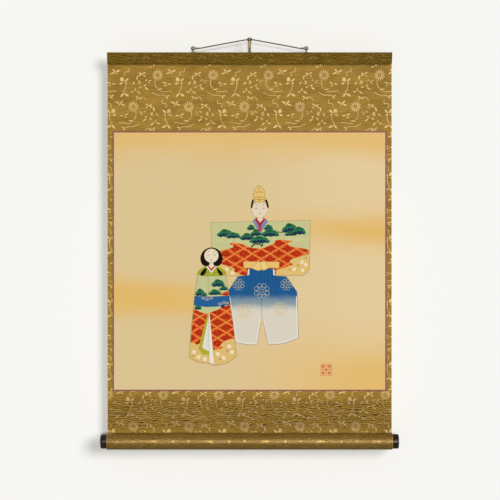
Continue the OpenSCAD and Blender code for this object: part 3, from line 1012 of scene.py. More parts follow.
outlined([(16.6, 200.8), (24.6, 201), (29.6, 190.6), (22.5, 186.8), (17.8, 190.4)], 17, "#efcd80",
         0, "#6f5527")
outlined([(4.9, 263.7), (8, 268), (11.5, 268.7), (21.3, 268.7), (25.4, 267.6), (28.5, 263.7),
          (16.45, 245)], 11, "#8188b2", 0, "#55597a", 0.35)
outlined([(8.4, 267.4), (11.4, 269.6), (21.6, 269.6), (24.2, 267.4), (18.2, 257.6), (18.1, 248),
          (13.8, 248.6), (14.2, 257.6)], 13, "#b32424", 0, "#7b1a1a", 0.3)
draw([(16.1, 257), (16, 248)], 15, "#8188b2", 0.6)
lay([(11.4, 268.4), (22, 268.4), (16.3, 261.6)], 15, "#efe6d6")
draw([(16.3, 266.4), (16.3, 263)], 16, "#8188b2", 1.1)
lay([(13.2, 272), (19.2, 272), (20, 267.4), (16.3, 266), (12.6, 267.4)], 16.5, "#e9d8bb")
for x in (3.2, 28.8):
    outlined(arc(x, 281.4, 1.9, 3.4, count=16), 14, "#e6d3b4", 0, "#a58c6a", 0.3)
outlined(arc(15.9, 282.2, 12.3, 13.2, count=36), 17, "#e7d6b9", 0, "#a58c6a", 0.35)
for side in (-1, 1):
    draw(soft([(15.6 + 9.6 * side, 297.6), (15.8 + 11.6 * side, 293), (16 + 13 * side, 285)], 2,
              False), 19, "#140c07", (3.4, 2.6))
outlined(soft([(7.1, 294.6), (5.6, 299), (7.4, 302.4), (6, 306), (7.4, 312), (11.4, 317.4),
               (15.35, 320.6), (19.2, 317.4), (23, 312), (24.3, 306), (23, 302.4), (24.8, 299),
               (23.4, 294.6), (15.3, 293)], 2), 20, "#e9c373", 0, "#80622a", 0.5)
for points in ([(6.6, 301.8), (11, 301), (15.3, 303), (19.6, 301), (24, 301.8)],
               [(7.2, 297.4), (11, 298.6), (15.3, 297), (19.6, 298.6), (23.6, 297.4)],
               [(9.4, 308), (12.4, 310.8), (15.3, 309), (18.2, 310.8), (21, 308)],
               [(15.3, 294), (15.3, 301)], [(15.3, 311.4), (15.3, 317)]):
    draw(soft(points, 2, False), 22, "#8d6d31", 0.7)
for x in (10.7, 21.9):
    draw(soft([(x - 2.1, 283.8), (x, 284.8), (x + 2.1, 283.8)], 2, False), 19, "#5b4a3a", 0.6)
    lay(arc(x, 290.2, 1.6, 0.9, count=12), 19, "#b8a48a")
draw(soft([(16.1, 281.6), (15.4, 279.4), (16.3, 279)], 1, False), 19, "#b09678", 0.3)
lay(arc(16.1, 276.4, 1.3, 0.75, count=12), 19, "#b5675a")

# %% The smaller doll
first = len(painting)
BODY = [(-81, 183.5), (-38, 184), (-32, 147), (-26, 105), (-20.5, 52), (-34, 42.5), (-45, 39.4),
        (-55, 38), (-64, 41.5), (-74, 42), (-83, 44), (-94.4, 50.5), (-92, 90), (-86, 146)]
lay(BODY, 12, "#e0bc72")
for x, y in ((-87, 59), (-80, 51), (-70, 48), (-32, 68), (-28, 59), (-41, 50), (-50, 56)):
    blossom(x, y, 3.4, 13)
for x, y in ((-89, 52), (-73, 55), (-35, 60), (-46, 47)):
    leaf_sprig(x, y, 13)
lay([(-81, 183.5), (-38, 184), (-31, 133), (-45, 128), (-51, 125), (-63.7, 121.5), (-70, 119),
     (-76.5, 121.5), (-87.5, 127), (-86, 146)], 13, "#c5c68f")
outlined([(-87.7, 127), (-76.5, 121.5), (-66, 119), (-78, 72), (-83, 70), (-86, 73),
          (-92.8, 74)], 14, "#c23a1e", 1, GOLD_LINE, 0.6)
outlined([(-63, 121), (-51, 125), (-45, 128.5), (-31, 133.5), (-26, 105), (-22.8, 79), (-28, 79.5),
          (-37, 77), (-44, 72), (-46, 68.5), (-41, 66.5), (-48, 63), (-57.5, 61.5)], 14, "#c23a1e",
         1, GOLD_LINE, 0.6)
outlined([(-64.5, 119), (-66.5, 117), (-79.7, 64), (-75, 58.5), (-63.7, 54), (-63.7, 60),
          (-73, 64.5), (-74.5, 67), (-65, 112)], 16, "#aeb022", 0, "#76761c", 0.3)
lay([(-64.8, 113), (-74.3, 67.5), (-73, 64.8), (-63.7, 60.2), (-63.9, 90)], 15, "#e6e0d2")
for x in (-68, -65.6):
    draw([(x, 66), (x + 1.6, 96)], 16, "#b7ad99", 0.3)
outlined([(-64, 121), (-62.8, 121), (-55.5, 39.5), (-63.2, 41.5)], 16, "#ebe5d8", 0, "#8d8370", 0.4)
draw(BODY, 17, "#6f6347", 0.5, True)
draw([(-65.2, 183), (-64.8, 148)], 17, "#6f6f52", 0.4)
for spot in ((-60.5, -38.4, 160.5, 173.5, 14), (-48, -33.4, 155, 163, 14),
             (-65, -44, 147.6, 157.6, 17), (-85.4, -70, 146, 159, 14),
             (-76, -66.4, 146, 153, 17), (-86.6, -75, 124.6, 135, 15)):
    pine(*spot)
lay([(-46, 132), (-42, 133), (-38, 131), (-44, 127.4)], 16.5, "#17294d")
outlined(soft([(-47, 148), (-44, 151.6), (-40, 152.4), (-36.6, 155.4), (-33, 154.7),
               (-31.6, 146.5)], 1), 16, "#c8431f", 1, GOLD_LINE, 0.5)
outlined([(-86.3, 146.5), (-60, 145.6), (-31.8, 147.2), (-30.6, 133.5), (-50, 130.6), (-68, 129.8),
          (-86.9, 132.5)], 18, "#245f98", 0, "#1a3f66", 0.45)
for k, (x, y, r) in enumerate(((-66.6, 142.6, 4.2), (-73, 144, 3), (-60, 144, 3), (-46.4, 134.8, 4),
                               (-40, 137, 4.4), (-34.6, 136.4, 3))):
    draw(arc(x, y - 0.6, r * 0.8, r * 0.5, count=12), 20 + 0.3 * k, "#b5b095", 0.6, True)
    draw(arc(x, y - 0.6, r * 0.35, r * 0.22, count=8), 20 + 0.3 * k, "#cdc5a2", 0.5, True)
outlined([(-79.6, 187), (-70, 193), (-60, 188), (-50, 193), (-39, 187), (-37, 180), (-46, 178.4),
          (-60, 178), (-75, 178.4), (-82, 180.6)], 16, "#a6ad24", 0, "#6d7320", 0.35)
for x in (-72, -66, -52, -46):
    draw([(x - 4, 179.4), (x + 2, 187)], 18, "#7f8a1c", 0.8)
for points in ([(-69.3, 191), (-73.8, 187.4), (-78.4, 180), (-72.6, 178), (-68.4, 184),
                (-66.8, 190)],
               [(-50.7, 191), (-45.6, 186.8), (-40.8, 180.6), (-45.4, 178), (-49.8, 183.8),
                (-51.8, 189.6)]):
    lay(soft(points, 1), 18.5, "#140c07")
lay([(-68.6, 193.4), (-51, 193.4), (-59.9, 182.2)], 19, "#efe8da")
draw([(-68.4, 193.4), (-59.9, 182.4), (-51.2, 193.4)], 19.5, "#8d8370", 0.3)
lay([(-66, 193.6), (-53.4, 193.6), (-59.9, 185.6)], 20, "#b32424")
lay([(-63, 194), (-56.6, 194), (-59.9, 189.2)], 20.5, "#efe8da")
HAIR = [(-59.6, 223.4), (-68.6, 221), (-75, 214.6), (-77.6, 206), (-76, 198.6), (-71.6, 193.8),
        (-65.4, 193.4), (-63, 196.4), (-56.4, 196.4), (-54, 193.4), (-47.8, 193.8),
        (-43.4, 198.6), (-41.8, 206), (-44.4, 214.6), (-50.6, 221)]
lay(soft(HAIR, 2), 21, "#140c07")
lay([(-62.6, 199), (-57, 199), (-56.2, 193), (-59.9, 190.6), (-63.4, 193)], 21.5, "#e9dbc0")
outlined(arc(-59.9, 210, 11.2, 11, count=32), 22, "#e8d9bd", 0, "#a58c6a", 0.3)
for x in (-64.6, -55):
    draw(soft([(x - 1.9, 210.6), (x, 211.4), (x + 1.9, 210.6)], 2, False), 24, "#5b4a3a", 0.6)
    lay(arc(x, 216.6, 1.4, 0.7, count=10), 24, "#b8a48a")
lay(arc(-59.8, 203.6, 1.1, 0.65, count=10), 24, "#b5675a")
# This doll stands in front, so all its layers lie on the other one's
painting[first:] = [(shape, level + 6, finish, colour)
                    for shape, level, finish, colour in painting[first:]]

# %% The seal: a plain square, with a plain check in place of carved characters
SEAL = "#d9683a"
draw([(111.9, 22.6), (128.3, 22.6), (128.3, 39.9), (111.9, 39.9)], 1, SEAL, 1.0, True)
for k in range(9):
    x, y = 115.2 + 4.9 * (k % 3), 26.1 + 5.2 * (k // 3)
    lay([(x - 1.9, y - 2), (x + 1.9, y - 2), (x + 1.9, y + 2), (x - 1.9, y + 2)], 1,
        SEAL if k % 2 == 0 else "#e39a72")
print(len(painting), "shapes in the painting")

# %% [markdown]
# ## Paint and silk
# The painter's silk is pale, and washed with warm mist that fades in and out. The robes' red
# ground carries a lozenge lattice, and the trousers are dipped blue from the top.

# %% Finishes of the painting
def height_on_painting(tree):
    """Across the painting from its middle and up from its lower edge, in metres."""
    apart = add(tree, "ShaderNodeSeparateXYZ", {0: cloth_place(tree)}).outputs
    return apart[0], calc(tree, "SUBTRACT", apart[1], picture_low.z)


def hump(tree, value, centre_mm, half_mm):
    """1 at the centre, and 0 from half_mm away."""
    away = calc(tree, "ABSOLUTE", calc(tree, "SUBTRACT", value, centre_mm * MM))
    return between(tree, away, half_mm * MM, 0.0)


def silk_build(tree):
    across, up = height_on_painting(tree)
    drift = calc(tree, "MULTIPLY", noise(tree, stretched(tree, cloth_place(tree), 5, 16), 1, 3),
                 60 * MM)
    drifted = calc(tree, "ADD", calc(tree, "SUBTRACT", up, 30 * MM), drift)
    left = between(tree, across, 90 * MM, -160 * MM)
    right = between(tree, across, -60 * MM, 190 * MM)
    mists = (calc(tree, "MULTIPLY", hump(tree, drifted, 146, 50), left),
             calc(tree, "MULTIPLY", hump(tree, drifted, 250, 52), right),
             calc(tree, "MULTIPLY", between(tree, drifted, 125 * MM, 15 * MM),
                  calc(tree, "MULTIPLY", right, 0.9)),
             calc(tree, "MULTIPLY", between(tree, drifted, 340 * MM, 400 * MM), 0.8))
    warm = mists[0]
    for mist in mists[1:]:
        warm = calc(tree, "MAXIMUM", warm, mist)
    plain = blended(tree, right, "#dbc290", "#e4ca9a")
    threads = calc(tree, "ADD", wave(tree, cloth_place(tree), 0.25, "X"),
                   wave(tree, cloth_place(tree), 0.28, "Y"))
    return {"Base Color": blended(tree, warm, plain, "#e2b766"),
            "Normal": bump(tree, threads, 0.12, 0.03)}


silk = surface("sized painting silk with mist washes", silk_build,
               sockets={"Roughness": 0.62, "Specular IOR Level": 0.15})


def pigment_build(tree):
    colour = add(tree, "ShaderNodeAttribute", attribute_name="pigment").outputs["Color"]
    grains = noise(tree, cloth_place(tree), 900, 2)
    pooled = noise(tree, cloth_place(tree), 120, 3)
    share = calc(tree, "MULTIPLY", between(tree, calc(tree, "ADD", grains, pooled), 0.7, 1.3), 0.16)
    darker = blended(tree, 1.0, colour, "#c9c0ae", "MULTIPLY")
    return {"Base Color": blended(tree, share, colour, darker),
            "Normal": bump(tree, grains, 0.15, 0.03)}


# Ground mineral and shell pigment in glue: matt, a little granular
pigment = surface("mineral pigment", pigment_build,
                  sockets={"Roughness": 0.78, "Specular IOR Level": 0.08})


def lattice_build(tree):
    across, up = height_on_painting(tree)
    u = calc(tree, "DIVIDE", calc(tree, "ADD", across, 9.3 * MM), 27.5 * MM)
    v = calc(tree, "DIVIDE", calc(tree, "SUBTRACT", up, 213 * MM), 16.5 * MM)
    p = calc(tree, "PINGPONG", calc(tree, "ADD", u, v), 0.5)
    q = calc(tree, "PINGPONG", calc(tree, "SUBTRACT", u, v), 0.5)
    edge = calc(tree, "MAXIMUM", p, q)
    brush = noise(tree, cloth_place(tree), 320, 3)
    uneven = calc(tree, "MULTIPLY", calc(tree, "SUBTRACT", brush, 0.5), 0.09)
    wobble = calc(tree, "ADD", edge, uneven)
    flower = calc(tree, "MULTIPLY", between(tree, wobble, 0.3, 0.22),
                  between(tree, wobble, 0.06, 0.13))
    red = blended(tree, between(tree, brush, 0.35, 0.65), "#b32604", "#d9501c")
    red = blended(tree, calc(tree, "MULTIPLY", flower, 0.75), red, "#981802")
    lined = blended(tree, between(tree, wobble, 0.4, 0.435), red, "#e07433")
    return {"Base Color": blended(tree, between(tree, wobble, 0.475, 0.49), lined, "#eaa84e")}


lattice = surface("red pigment with a gold lozenge lattice", lattice_build,
                  sockets={"Roughness": 0.7, "Specular IOR Level": 0.08})


def dipped_build(tree):
    across, up = height_on_painting(tree)
    uneven = calc(tree, "MULTIPLY", noise(tree, cloth_place(tree), 60, 3), 8 * MM)
    level = calc(tree, "ADD", up, uneven)
    upper = blended(tree, between(tree, level, 141 * MM, 155 * MM), "#8498a0", "#1b588e")
    middle = blended(tree, between(tree, level, 126 * MM, 142 * MM), "#d9d1c0", upper)
    return {"Base Color": middle}


dipped = surface("pigment shaded from blue to white", dipped_build,
                 sockets={"Roughness": 0.75, "Specular IOR Level": 0.08})


def washi_build(tree):
    place = cloth_place(tree)
    fibres = noise(tree, stretched(tree, place, 90, 500), 1, 5)
    clouds = noise(tree, place, 26, 3)
    laid = wave(tree, place, 1.1, "Y", 0.3)
    mixed = calc(tree, "ADD", calc(tree, "MULTIPLY", fibres, 0.8),
                 calc(tree, "MULTIPLY", clouds, 0.2))
    height = calc(tree, "ADD", fibres, calc(tree, "MULTIPLY", laid, 0.25))
    return {"Base Color": blended(tree, between(tree, mixed, 0.35, 0.65), "#e4d8ba", "#efe6d2"),
            "Normal": bump(tree, height, 0.3, 0.06)}


washi = surface("laid mulberry paper", washi_build,
                sockets={"Roughness": 0.85, "Specular IOR Level": 0.2})


def thin_silk_build(tree):
    place = cloth_place(tree)
    slubs = noise(tree, stretched(tree, place, 900, 60), 1, 3)
    return {"Base Color": blended(tree, between(tree, slubs, 0.3, 0.7), "#9ba897", "#b7c1b3"),
            "Normal": bump(tree, calc(tree, "ADD", wave(tree, place, 0.3, "X"), slubs), 0.25, 0.04)}


protector_silk = surface("thin plain green-grey silk", thin_silk_build,
                         sockets={"Roughness": 0.5, "Sheen Weight": 0.2})


def fillet_build(tree):
    place = cloth_place(tree)
    ribs = wave(tree, place, 0.4, "DIAGONAL")
    patches = noise(tree, place, 160, 2)
    return {"Base Color": blended(tree, between(tree, patches, 0.3, 0.7), "#743222", "#884632"),
            "Normal": bump(tree, ribs, 0.3, 0.05)}


fillet_silk = surface("dark red silk fillet", fillet_build, sockets={"Roughness": 0.5})
print("painting finishes made")

# %% [markdown]
# ## The sheet, band by band
# The real sheet bends anywhere. Here it is cut half way between its hinges, one band to a hinge.
# A band is a closed slab, brocade and silk in front and paper behind, in rows of at most three
# millimetres. What lies on it is cut into the same bands and rows.

# %% Rows and bands
band_edges = [sheet_high.z]
band_edges += [(a + b) / 2 for a, b in zip(bending_lines, bending_lines[1:])] + [roller_z]
patch_low, patch_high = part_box("corner_patches")
protector_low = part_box("top_protector")[0]
stops = sorted({round(z, 6) for z in [
    *band_edges, frame_high.z, picture_high.z, picture_low.z, frame_low.z, tail_top,
    patch_high.z, protector_low.z]}, reverse=True)
ROW_HEIGHT, PATCH_WIDTH, PATCH_T = 3 * MM, 14 * MM, 0.15 * MM
all_rows = []
for top, bottom in zip(stops, stops[1:]):
    count = max(1, math.ceil((top - bottom) / ROW_HEIGHT - 1e-6))
    all_rows += [top + (bottom - top) * k / count for k in range(count)]
all_rows.append(stops[-1])
silk_x = picture_high.x
border_x = frame_high.x


def rows_between(top, bottom):
    return [z for z in all_rows if bottom - 1e-6 <= z <= top + 1e-6]


def slab(name, columns, rows, y_front, y_back, materials, face_material):
    """A closed slab with a grid of faces. face_material(x, z) numbers the front faces' finish,
    number 1 is the back's and 0 is the sides'."""
    across, down = len(columns), len(rows)
    verts = [(x, y, z) for y in (y_front, y_back) for z in rows for x in columns]
    faces, kinds = [], []

    def at(layer, r, c):
        return layer * across * down + r * across + c
    for r in range(down - 1):
        for c in range(across - 1):
            middle = ((columns[c] + columns[c + 1]) / 2, (rows[r] + rows[r + 1]) / 2)
            for layer, kind in ((0, face_material(*middle)), (1, 1)):
                faces.append((at(layer, r, c), at(layer, r + 1, c), at(layer, r + 1, c + 1),
                              at(layer, r, c + 1)))
                kinds.append(kind)
    rim = [(r, 0) for r in range(down)] + [(down - 1, c) for c in range(1, across)]
    rim += [(r, across - 1) for r in range(down - 2, -1, -1)]
    rim += [(0, c) for c in range(across - 2, 0, -1)]
    for (r0, c0), (r1, c1) in zip(rim, rim[1:] + rim[:1]):
        faces.append((at(0, r0, c0), at(0, r1, c1), at(1, r1, c1), at(1, r0, c0)))
        kinds.append(0)
    mesh = bpy.data.meshes.new(name)
    mesh.from_pydata(verts, [], faces)
    chart = mesh.uv_layers.new(name="cloth")
    for corner in mesh.loops:
        x, y, z = verts[corner.vertex_index]
        chart.data[corner.index].uv = (x, z)
    for face, kind in zip(mesh.polygons, kinds):
        face.material_index = kind
    for m in materials:
        mesh.materials.append(m)
    return crisp(outward(placed(name, mesh)))


def crisp(obj):
    """Smooth faces, sharp edges."""
    smooth_shaded(obj).data.set_sharp_from_angle(angle=radians(35))
    return obj


def front_kind(x, z):
    return 2 if abs(x) < silk_x and picture_low.z < z < picture_high.z else 0


# %% What lies on the sheet, still flat
paint_flat = flat_mesh("paint", painting, 0.015, 0.02)
paint_flat.transform(Matrix.Translation((0, picture_low.z, 0)))


def box_outline(x_low, x_high, z_low, z_high):
    return fill([(x_low / MM, z_low / MM), (x_high / MM, z_low / MM), (x_high / MM, z_high / MM),
                 (x_low / MM, z_high / MM)])


FILLETS = [(-border_x, border_x, picture_high.z, frame_high.z),
           (-border_x, border_x, frame_low.z, picture_low.z),
           (-border_x, -silk_x, picture_low.z, picture_high.z),
           (silk_x, border_x, picture_low.z, picture_high.z)]
fillet_flat = flat_mesh("fillets", [(box_outline(*f), 0, 0, "#ffffff") for f in FILLETS], 0, 0.1)
PANELS = [(sheet_figures, -half_sheet, half_sheet, frame_high.z, sheet_high.z),
          (foot_figures, -half_sheet, half_sheet, tail_top - 10 * MM, frame_low.z),
          (sheet_figures, -half_sheet, -border_x, frame_low.z, frame_high.z),
          (sheet_figures, border_x, half_sheet, frame_low.z, frame_high.z)]
gathered = bmesh.new()
for panel in PANELS:
    gathered.from_mesh(mesh_from(cropped(*panel), "scrap"))
figure_flat = mesh_from(gathered, "figure_flat")
print(len(figure_flat.polygons), "figure faces and", len(paint_flat.polygons), "paint faces, flat")

# %% The bands
CAD_SHEETS = ["upper_brocade", "lower_brocade", "left_border", "right_border", "top_fillet",
              "bottom_fillet", "left_fillet", "right_fillet", "picture_silk", "top_protector",
              "leader_lining", "corner_patches"]
CAD_SHEETS += [f"lining_{k:02d}" for k in range(1, len(bending_lines))]
cad_spans = {node: (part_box(node)[0].z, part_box(node)[1].z) for node in CAD_SHEETS}
OVERLAYS = [("paint", paint_flat, 0.01, [pigment, lattice, dipped], "silk", ["picture_silk"]),
            ("fillets", fillet_flat, 0.1, [fillet_silk], "fillet",
             ["top_fillet", "bottom_fillet", "left_fillet", "right_fillet"]),
            ("figures", figure_flat, 0.08, [gold_thread], "brocade",
             ["upper_brocade", "lower_brocade", "left_border", "right_border"])]
total = 0


def bend_band(obj, k, nodes, slot):
    """The piece of band k. Its transform is baked, and these CAD nodes are hidden where they cross
    its band.
    """
    top, bottom, line = band_edges[k], band_edges[k + 1], bending_lines[k]
    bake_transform(obj)
    met = [n for n in nodes if cad_spans[n][0] < top - 1e-5 and cad_spans[n][1] > bottom + 1e-5]
    if met:
        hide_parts(*met)


for k in range(len(bending_lines)):
    top, bottom = band_edges[k], band_edges[k + 1]
    rows = rows_between(top, bottom)
    ground = slab(f"sheet_{k + 1:02d}", [-half_sheet, -border_x, -silk_x, 0, silk_x, border_x,
                                         half_sheet], rows, front_y, lining_back_y,
                  [brocade, washi, silk], front_kind)
    has_silk = top > picture_low.z + 1e-5 and bottom < picture_high.z - 1e-5
    bend_band(ground, k, [n for n in CAD_SHEETS if "lining" in n],
              "silk" if has_silk else "brocade")
    for kind, flat, depth, finishes, slot, nodes in OVERLAYS:
        part = cropped(flat, -1, 1, bottom, top)
        if not part.faces:
            part.free()
            continue
        piece = crisp(thin_solid(f"{kind}_{k + 1:02d}", part, depth, on_sheet, finishes,
                                 rows[1:-1]))
        bend_band(piece, k, nodes, slot)
        total += len(piece.data.polygons)
    if bottom < patch_high.z:
        for side, x0, x1 in (("left", patch_low.x, patch_low.x + PATCH_WIDTH),
                             ("right", patch_high.x - PATCH_WIDTH, patch_high.x)):
            span = rows_between(min(top, patch_high.z), max(bottom, patch_low.z))
            patch = slab(f"{side}_patch_{k + 1:02d}", [x0, x1], span, lining_back_y,
                         lining_back_y + PATCH_T, [brocade, brocade], lambda x, z: 0)
            bend_band(patch, k, ["corner_patches"], "brocade")
    if top > protector_low.z + 1e-5:
        low = max(bottom, protector_low.z)
        cover = slab(f"protector_{k + 1:02d}", [-half_sheet, 0, half_sheet], rows_between(top, low),
                     lining_back_y, protector_back_y, [protector_silk, protector_silk],
                     lambda x, z: 0)
        bend_band(cover, k, ["top_protector"], "protector")
print(len(bending_lines), "bands,", total, "faces of figures, fillets and paint")

# %% [markdown]
# ## The stave
# A half-round of cedar, covered in the same brocade, carries the sheet. Its flat face looks
# forward and down, away from the light, and its cloth is given darker colours: painted shade.

# %% Stave cloth
stave_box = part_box("stave_wrap")
stave_cloth_r = stave_box[1].y
stave_z = stave_box[1].z - stave_cloth_r
STAVE_LEAN = radians(25)
cloth_t = 0.5 * MM
stave_edge = math.acos(-cloth_t / stave_cloth_r)
flat_half = stave_cloth_r * sin(stave_edge)
stave_round = 2 * stave_edge * stave_cloth_r


def on_stave(x, s, depth):
    """s runs up the flat face from its middle, then over the round back."""
    if s <= flat_half + 1e-7:
        u, v = -cloth_t - depth, s
    else:
        a = stave_edge - (s - flat_half) / stave_cloth_r
        u, v = (stave_cloth_r + depth) * cos(a), (stave_cloth_r + depth) * sin(a)
    return (x, u * cos(STAVE_LEAN) - v * sin(STAVE_LEAN),
            stave_z + u * sin(STAVE_LEAN) + v * cos(STAVE_LEAN))


def cloth_round(name, length_from, length_to, bends, depth_mm, place, material):
    """Cloth from one place to another round a section, scored where it bends."""
    outline = box_outline(stave_box[0].x, stave_box[1].x, length_from, length_to)
    work = bmesh.new()
    work.from_mesh(flat_mesh(name, [(outline, 0, 0, "#ffffff")], 0))
    return crisp(thin_solid(name, work, depth_mm, place, [material], bends))


stave_bends = [flat_half + stave_round * k / 40 for k in range(40)]
stave_cloth = cloth_round("stave_cloth", -flat_half, flat_half + stave_round, stave_bends, 0.4,
                          on_stave, stave_brocade)
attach(stave_cloth, "stave")
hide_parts("stave_wrap")
stave_figures = crisp(thin_solid(
    "stave_figures", cropped(figures(0.021, 0.032, -0.02, shaded_thread, 0.06), stave_box[0].x,
                             stave_box[1].x, -flat_half, flat_half + stave_round), 0.05, on_stave,
    [shaded_thread], stave_bends))
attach(stave_figures, "stave")
print(f"stave cloth {1000 * (2 * flat_half + stave_round):.1f} mm round")

# %% [markdown]
# ## The roller and its knobs
# The sheet's foot goes down behind the roller and round it. The knobs are turned from dark wood
# and polished. Their profile is turned on the lathe here too.

# %% Roller cloth
def on_roller(x, s, depth):
    """s is zero at the back and falls as the cloth goes under the roller and up its front."""
    a = s / roller_wrap_r
    return (x, roller_y + (roller_wrap_r + depth) * cos(a),
            roller_z + (roller_wrap_r + depth) * sin(a))


turn_length = 2 * pi * roller_wrap_r
roller_bends = [-turn_length * k / 64 for k in range(1, 64)]
roller_cloth = cloth_round("roller_cloth", -turn_length, 0, roller_bends,
                           (lining_back_y - front_y) / MM - 0.05, on_roller, roller_brocade)
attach(roller_cloth, "roller")
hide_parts("roller_wrap")
roller_figures = crisp(thin_solid(
    "roller_figures", cropped(figures(0.018, 0.012, -0.1, roller_thread, 0.08), stave_box[0].x,
                              stave_box[1].x, -turn_length, 0), 0.07, on_roller,
    [roller_thread], roller_bends))
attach(roller_figures, "roller")


# %% Knobs
def dark_wood_build(tree):
    place = stretched(tree, own_place(tree), 120, 900, 900)
    grain = noise(tree, place, 1, 4)
    return {"Base Color": blended(tree, between(tree, grain, 0.35, 0.7), "#140602", "#341e10"),
            "Normal": bump(tree, grain, 0.08, 0.05)}


# Close-grained hardwood, stained and polished to a soft gloss
dark_wood = surface("dark polished wood", dark_wood_build,
                    sockets={"Roughness": 0.3, "Specular IOR Level": 0.4})
knob_low, knob_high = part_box("right_knob")
knob_r = (knob_high.z - knob_low.z) / 2
knob_length = knob_high.x - knob_low.x
KNOB_EDGE, BORE_R, BORE_LENGTH = 2 * MM, 5 * MM, 7.2 * MM
profile = [(BORE_LENGTH, 0), (BORE_LENGTH, BORE_R), (0, BORE_R), (0, knob_r - 0.3 * MM),
           (0.3 * MM, knob_r), (1.5 * MM, knob_r), (1.7 * MM, knob_r - 0.25 * MM),
           (2.1 * MM, knob_r - 0.25 * MM), (2.3 * MM, knob_r)]
profile += [(knob_length - KNOB_EDGE + KNOB_EDGE * sin(a),
             knob_r - KNOB_EDGE + KNOB_EDGE * cos(a)) for a in np.linspace(0, pi / 2, 8)]
profile += [(knob_length, 0)]


def turned(name, profile, x, side, material, count=72):
    """Turns a profile of (along, radius) about the roller's axis. Its ends are on the axis."""
    work = bmesh.new()
    rings = []
    for along, r in profile:
        spots = 1 if r == 0 else count
        rings.append([work.verts.new((x + side * along, roller_y + r * cos(a),
                                      roller_z + r * sin(a)))
                      for a in around(spots)])
    for low, high in zip(rings, rings[1:]):
        for k in range(count):
            corners = [low[k % len(low)], low[(k + 1) % len(low)], high[(k + 1) % len(high)],
                       high[k % len(high)]]
            work.faces.new(list(dict.fromkeys(corners)))
    bmesh.ops.recalc_face_normals(work, faces=work.faces[:])
    mesh = mesh_from(work, name)
    mesh.materials.append(material)
    return crisp(placed(name, mesh))


for side, name in ((-1, "left_knob"), (1, "right_knob")):
    knob = turned("turned_" + name, profile, side * knob_low.x, side, dark_wood)
    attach(knob, "roller")
    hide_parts(name)
print(f"roller cloth {1000 * turn_length:.1f} mm round, knobs {2000 * knob_r:.1f} mm across")


# %% [markdown]
# ## Wood and metal that the CAD model gives whole
# The cores, the eyelets, the washers and the stave's covered ends already have their true shape.
# They only need a finish.

# %% Finishes of the carried pieces
def cedar_build(tree):
    place = stretched(tree, own_place(tree), 6, 220, 220)
    grain = noise(tree, place, 1, 4)
    return {"Base Color": blended(tree, between(tree, grain, 0.35, 0.68), "#b98a58", "#dcb98a"),
            "Normal": bump(tree, grain, 0.15, 0.08)}


cedar = surface("planed cedar", cedar_build, sockets={"Roughness": 0.6})


def iron_build(tree):
    scale = noise(tree, own_place(tree), 900, 4)
    return {"Base Color": blended(tree, between(tree, scale, 0.35, 0.65), "#1c130e", "#3c2a20"),
            "Roughness": calc(tree, "ADD", calc(tree, "MULTIPLY", scale, 0.25), 0.38),
            "Normal": bump(tree, scale, 0.25, 0.05)}


iron = surface("blackened iron wire", iron_build, sockets={"Metallic": 0.85})


def brass_build(tree):
    tarnish = noise(tree, own_place(tree), 700, 4)
    return {"Base Color": blended(tree, between(tree, tarnish, 0.35, 0.65), "#6d5125", "#a6813f"),
            "Roughness": calc(tree, "ADD", calc(tree, "MULTIPLY", tarnish, 0.3), 0.3)}


brass = surface("dulled sheet brass", brass_build, sockets={"Metallic": 1.0})
for nodes, finish in ((("stave_core", "roller_core"), cedar),
                      (("left_eyelet", "right_eyelet"), iron),
                      (("left_washer", "right_washer"), brass),
                      (("left_stave_cover", "right_stave_cover"), end_brocade)):
    for node in nodes:
        obj = frame["nodes"][node]
        obj.data.materials.clear()
        obj.data.materials.append(finish)
        if finish in (iron, brass):
            crisp(obj)
print("carried pieces finished")

# %% [markdown]
# ## Wall and light
# The scroll hangs on a pale wall that curves forward into a floor well below it. One soft light
# comes from up on the right and throws a faint shadow to the left and down. A second comes from
# beside the camera and draws the bright line along the roller. From behind, the wall is clear, so
# the back of the scroll can be looked at too.

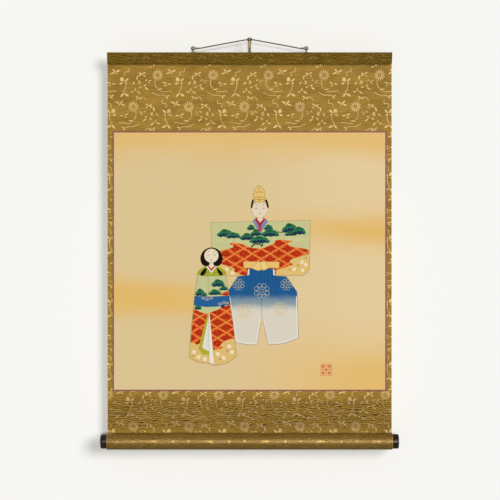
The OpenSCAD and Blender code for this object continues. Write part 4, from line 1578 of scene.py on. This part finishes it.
# %% Wall
def wall_material():
    made = bpy.data.materials.new("matt white wall paint")
    made.use_nodes = True
    tree = made.node_tree
    tree.nodes.clear()
    paint = add(tree, "ShaderNodeBsdfDiffuse", {"Color": linear("#f8f7f3")})
    clear = add(tree, "ShaderNodeBsdfTransparent")
    behind = add(tree, "ShaderNodeNewGeometry").outputs["Backfacing"]
    both = add(tree, "ShaderNodeMixShader", {0: behind, 1: paint.outputs[0], 2: clear.outputs[0]})
    add(tree, "ShaderNodeOutputMaterial", {"Surface": both.outputs[0]})
    return made


WALL_Y, FLOOR_Z, CURVE_R, WIDE = 0.03, -1.25, 0.4, 3.0
bends = [(WALL_Y, 1.6)]
bends += [(WALL_Y - CURVE_R + CURVE_R * cos(a), FLOOR_Z + CURVE_R - CURVE_R * sin(a))
          for a in np.linspace(0, pi / 2, 16)]
bends += [(-3.0, FLOOR_Z)]
wall_mesh = bpy.data.meshes.new("wall")
wall_mesh.from_pydata([(x, y, z) for y, z in bends for x in (-WIDE, WIDE)], [],
                      [(2 * k, 2 * k + 2, 2 * k + 3, 2 * k + 1) for k in range(len(bends) - 1)])
wall_mesh.materials.append(wall_material())
wall = smooth_shaded(placed("wall", wall_mesh))
wall.visible_diffuse = wall.visible_glossy = wall.visible_transmission = False
wall.visible_shadow = False


# %% Lights
def far_light(name, place, angle, strength):
    """Even light from one direction. A wide angle gives soft shadows."""
    data = bpy.data.lights.new(name, "SUN")
    data.angle, data.energy = radians(angle), strength
    made = placed(name, data)
    made.location = place
    made.rotation_euler = (-Vector(place)).to_track_quat("-Z", "Y").to_euler()
    return made


far_light("key", (0.95, -1.5, 0.5), 26, 1.5)
far_light("front", (0.1, -2.0, 0.1), 9, 1.1)
far_light("back", (-0.8, 1.3, 1.5), 30, 0.9)
world = bpy.data.worlds.new("studio")
scene.world = world
world.use_nodes = True
world.node_tree.nodes.clear()
seen = add(world.node_tree, "ShaderNodeLightPath").outputs["Is Camera Ray"]
strength = add(world.node_tree, "ShaderNodeMix", {0: seen, 2: 0.26, 3: 0.94}, data_type="FLOAT")
sky = add(world.node_tree, "ShaderNodeBackground",
          {"Color": (1, 1, 0.99, 1), "Strength": strength.outputs[0]})
add(world.node_tree, "ShaderNodeOutputWorld", {"Surface": sky.outputs[0]})
bpy.data.objects.remove(unit)
print("wall and lights placed")
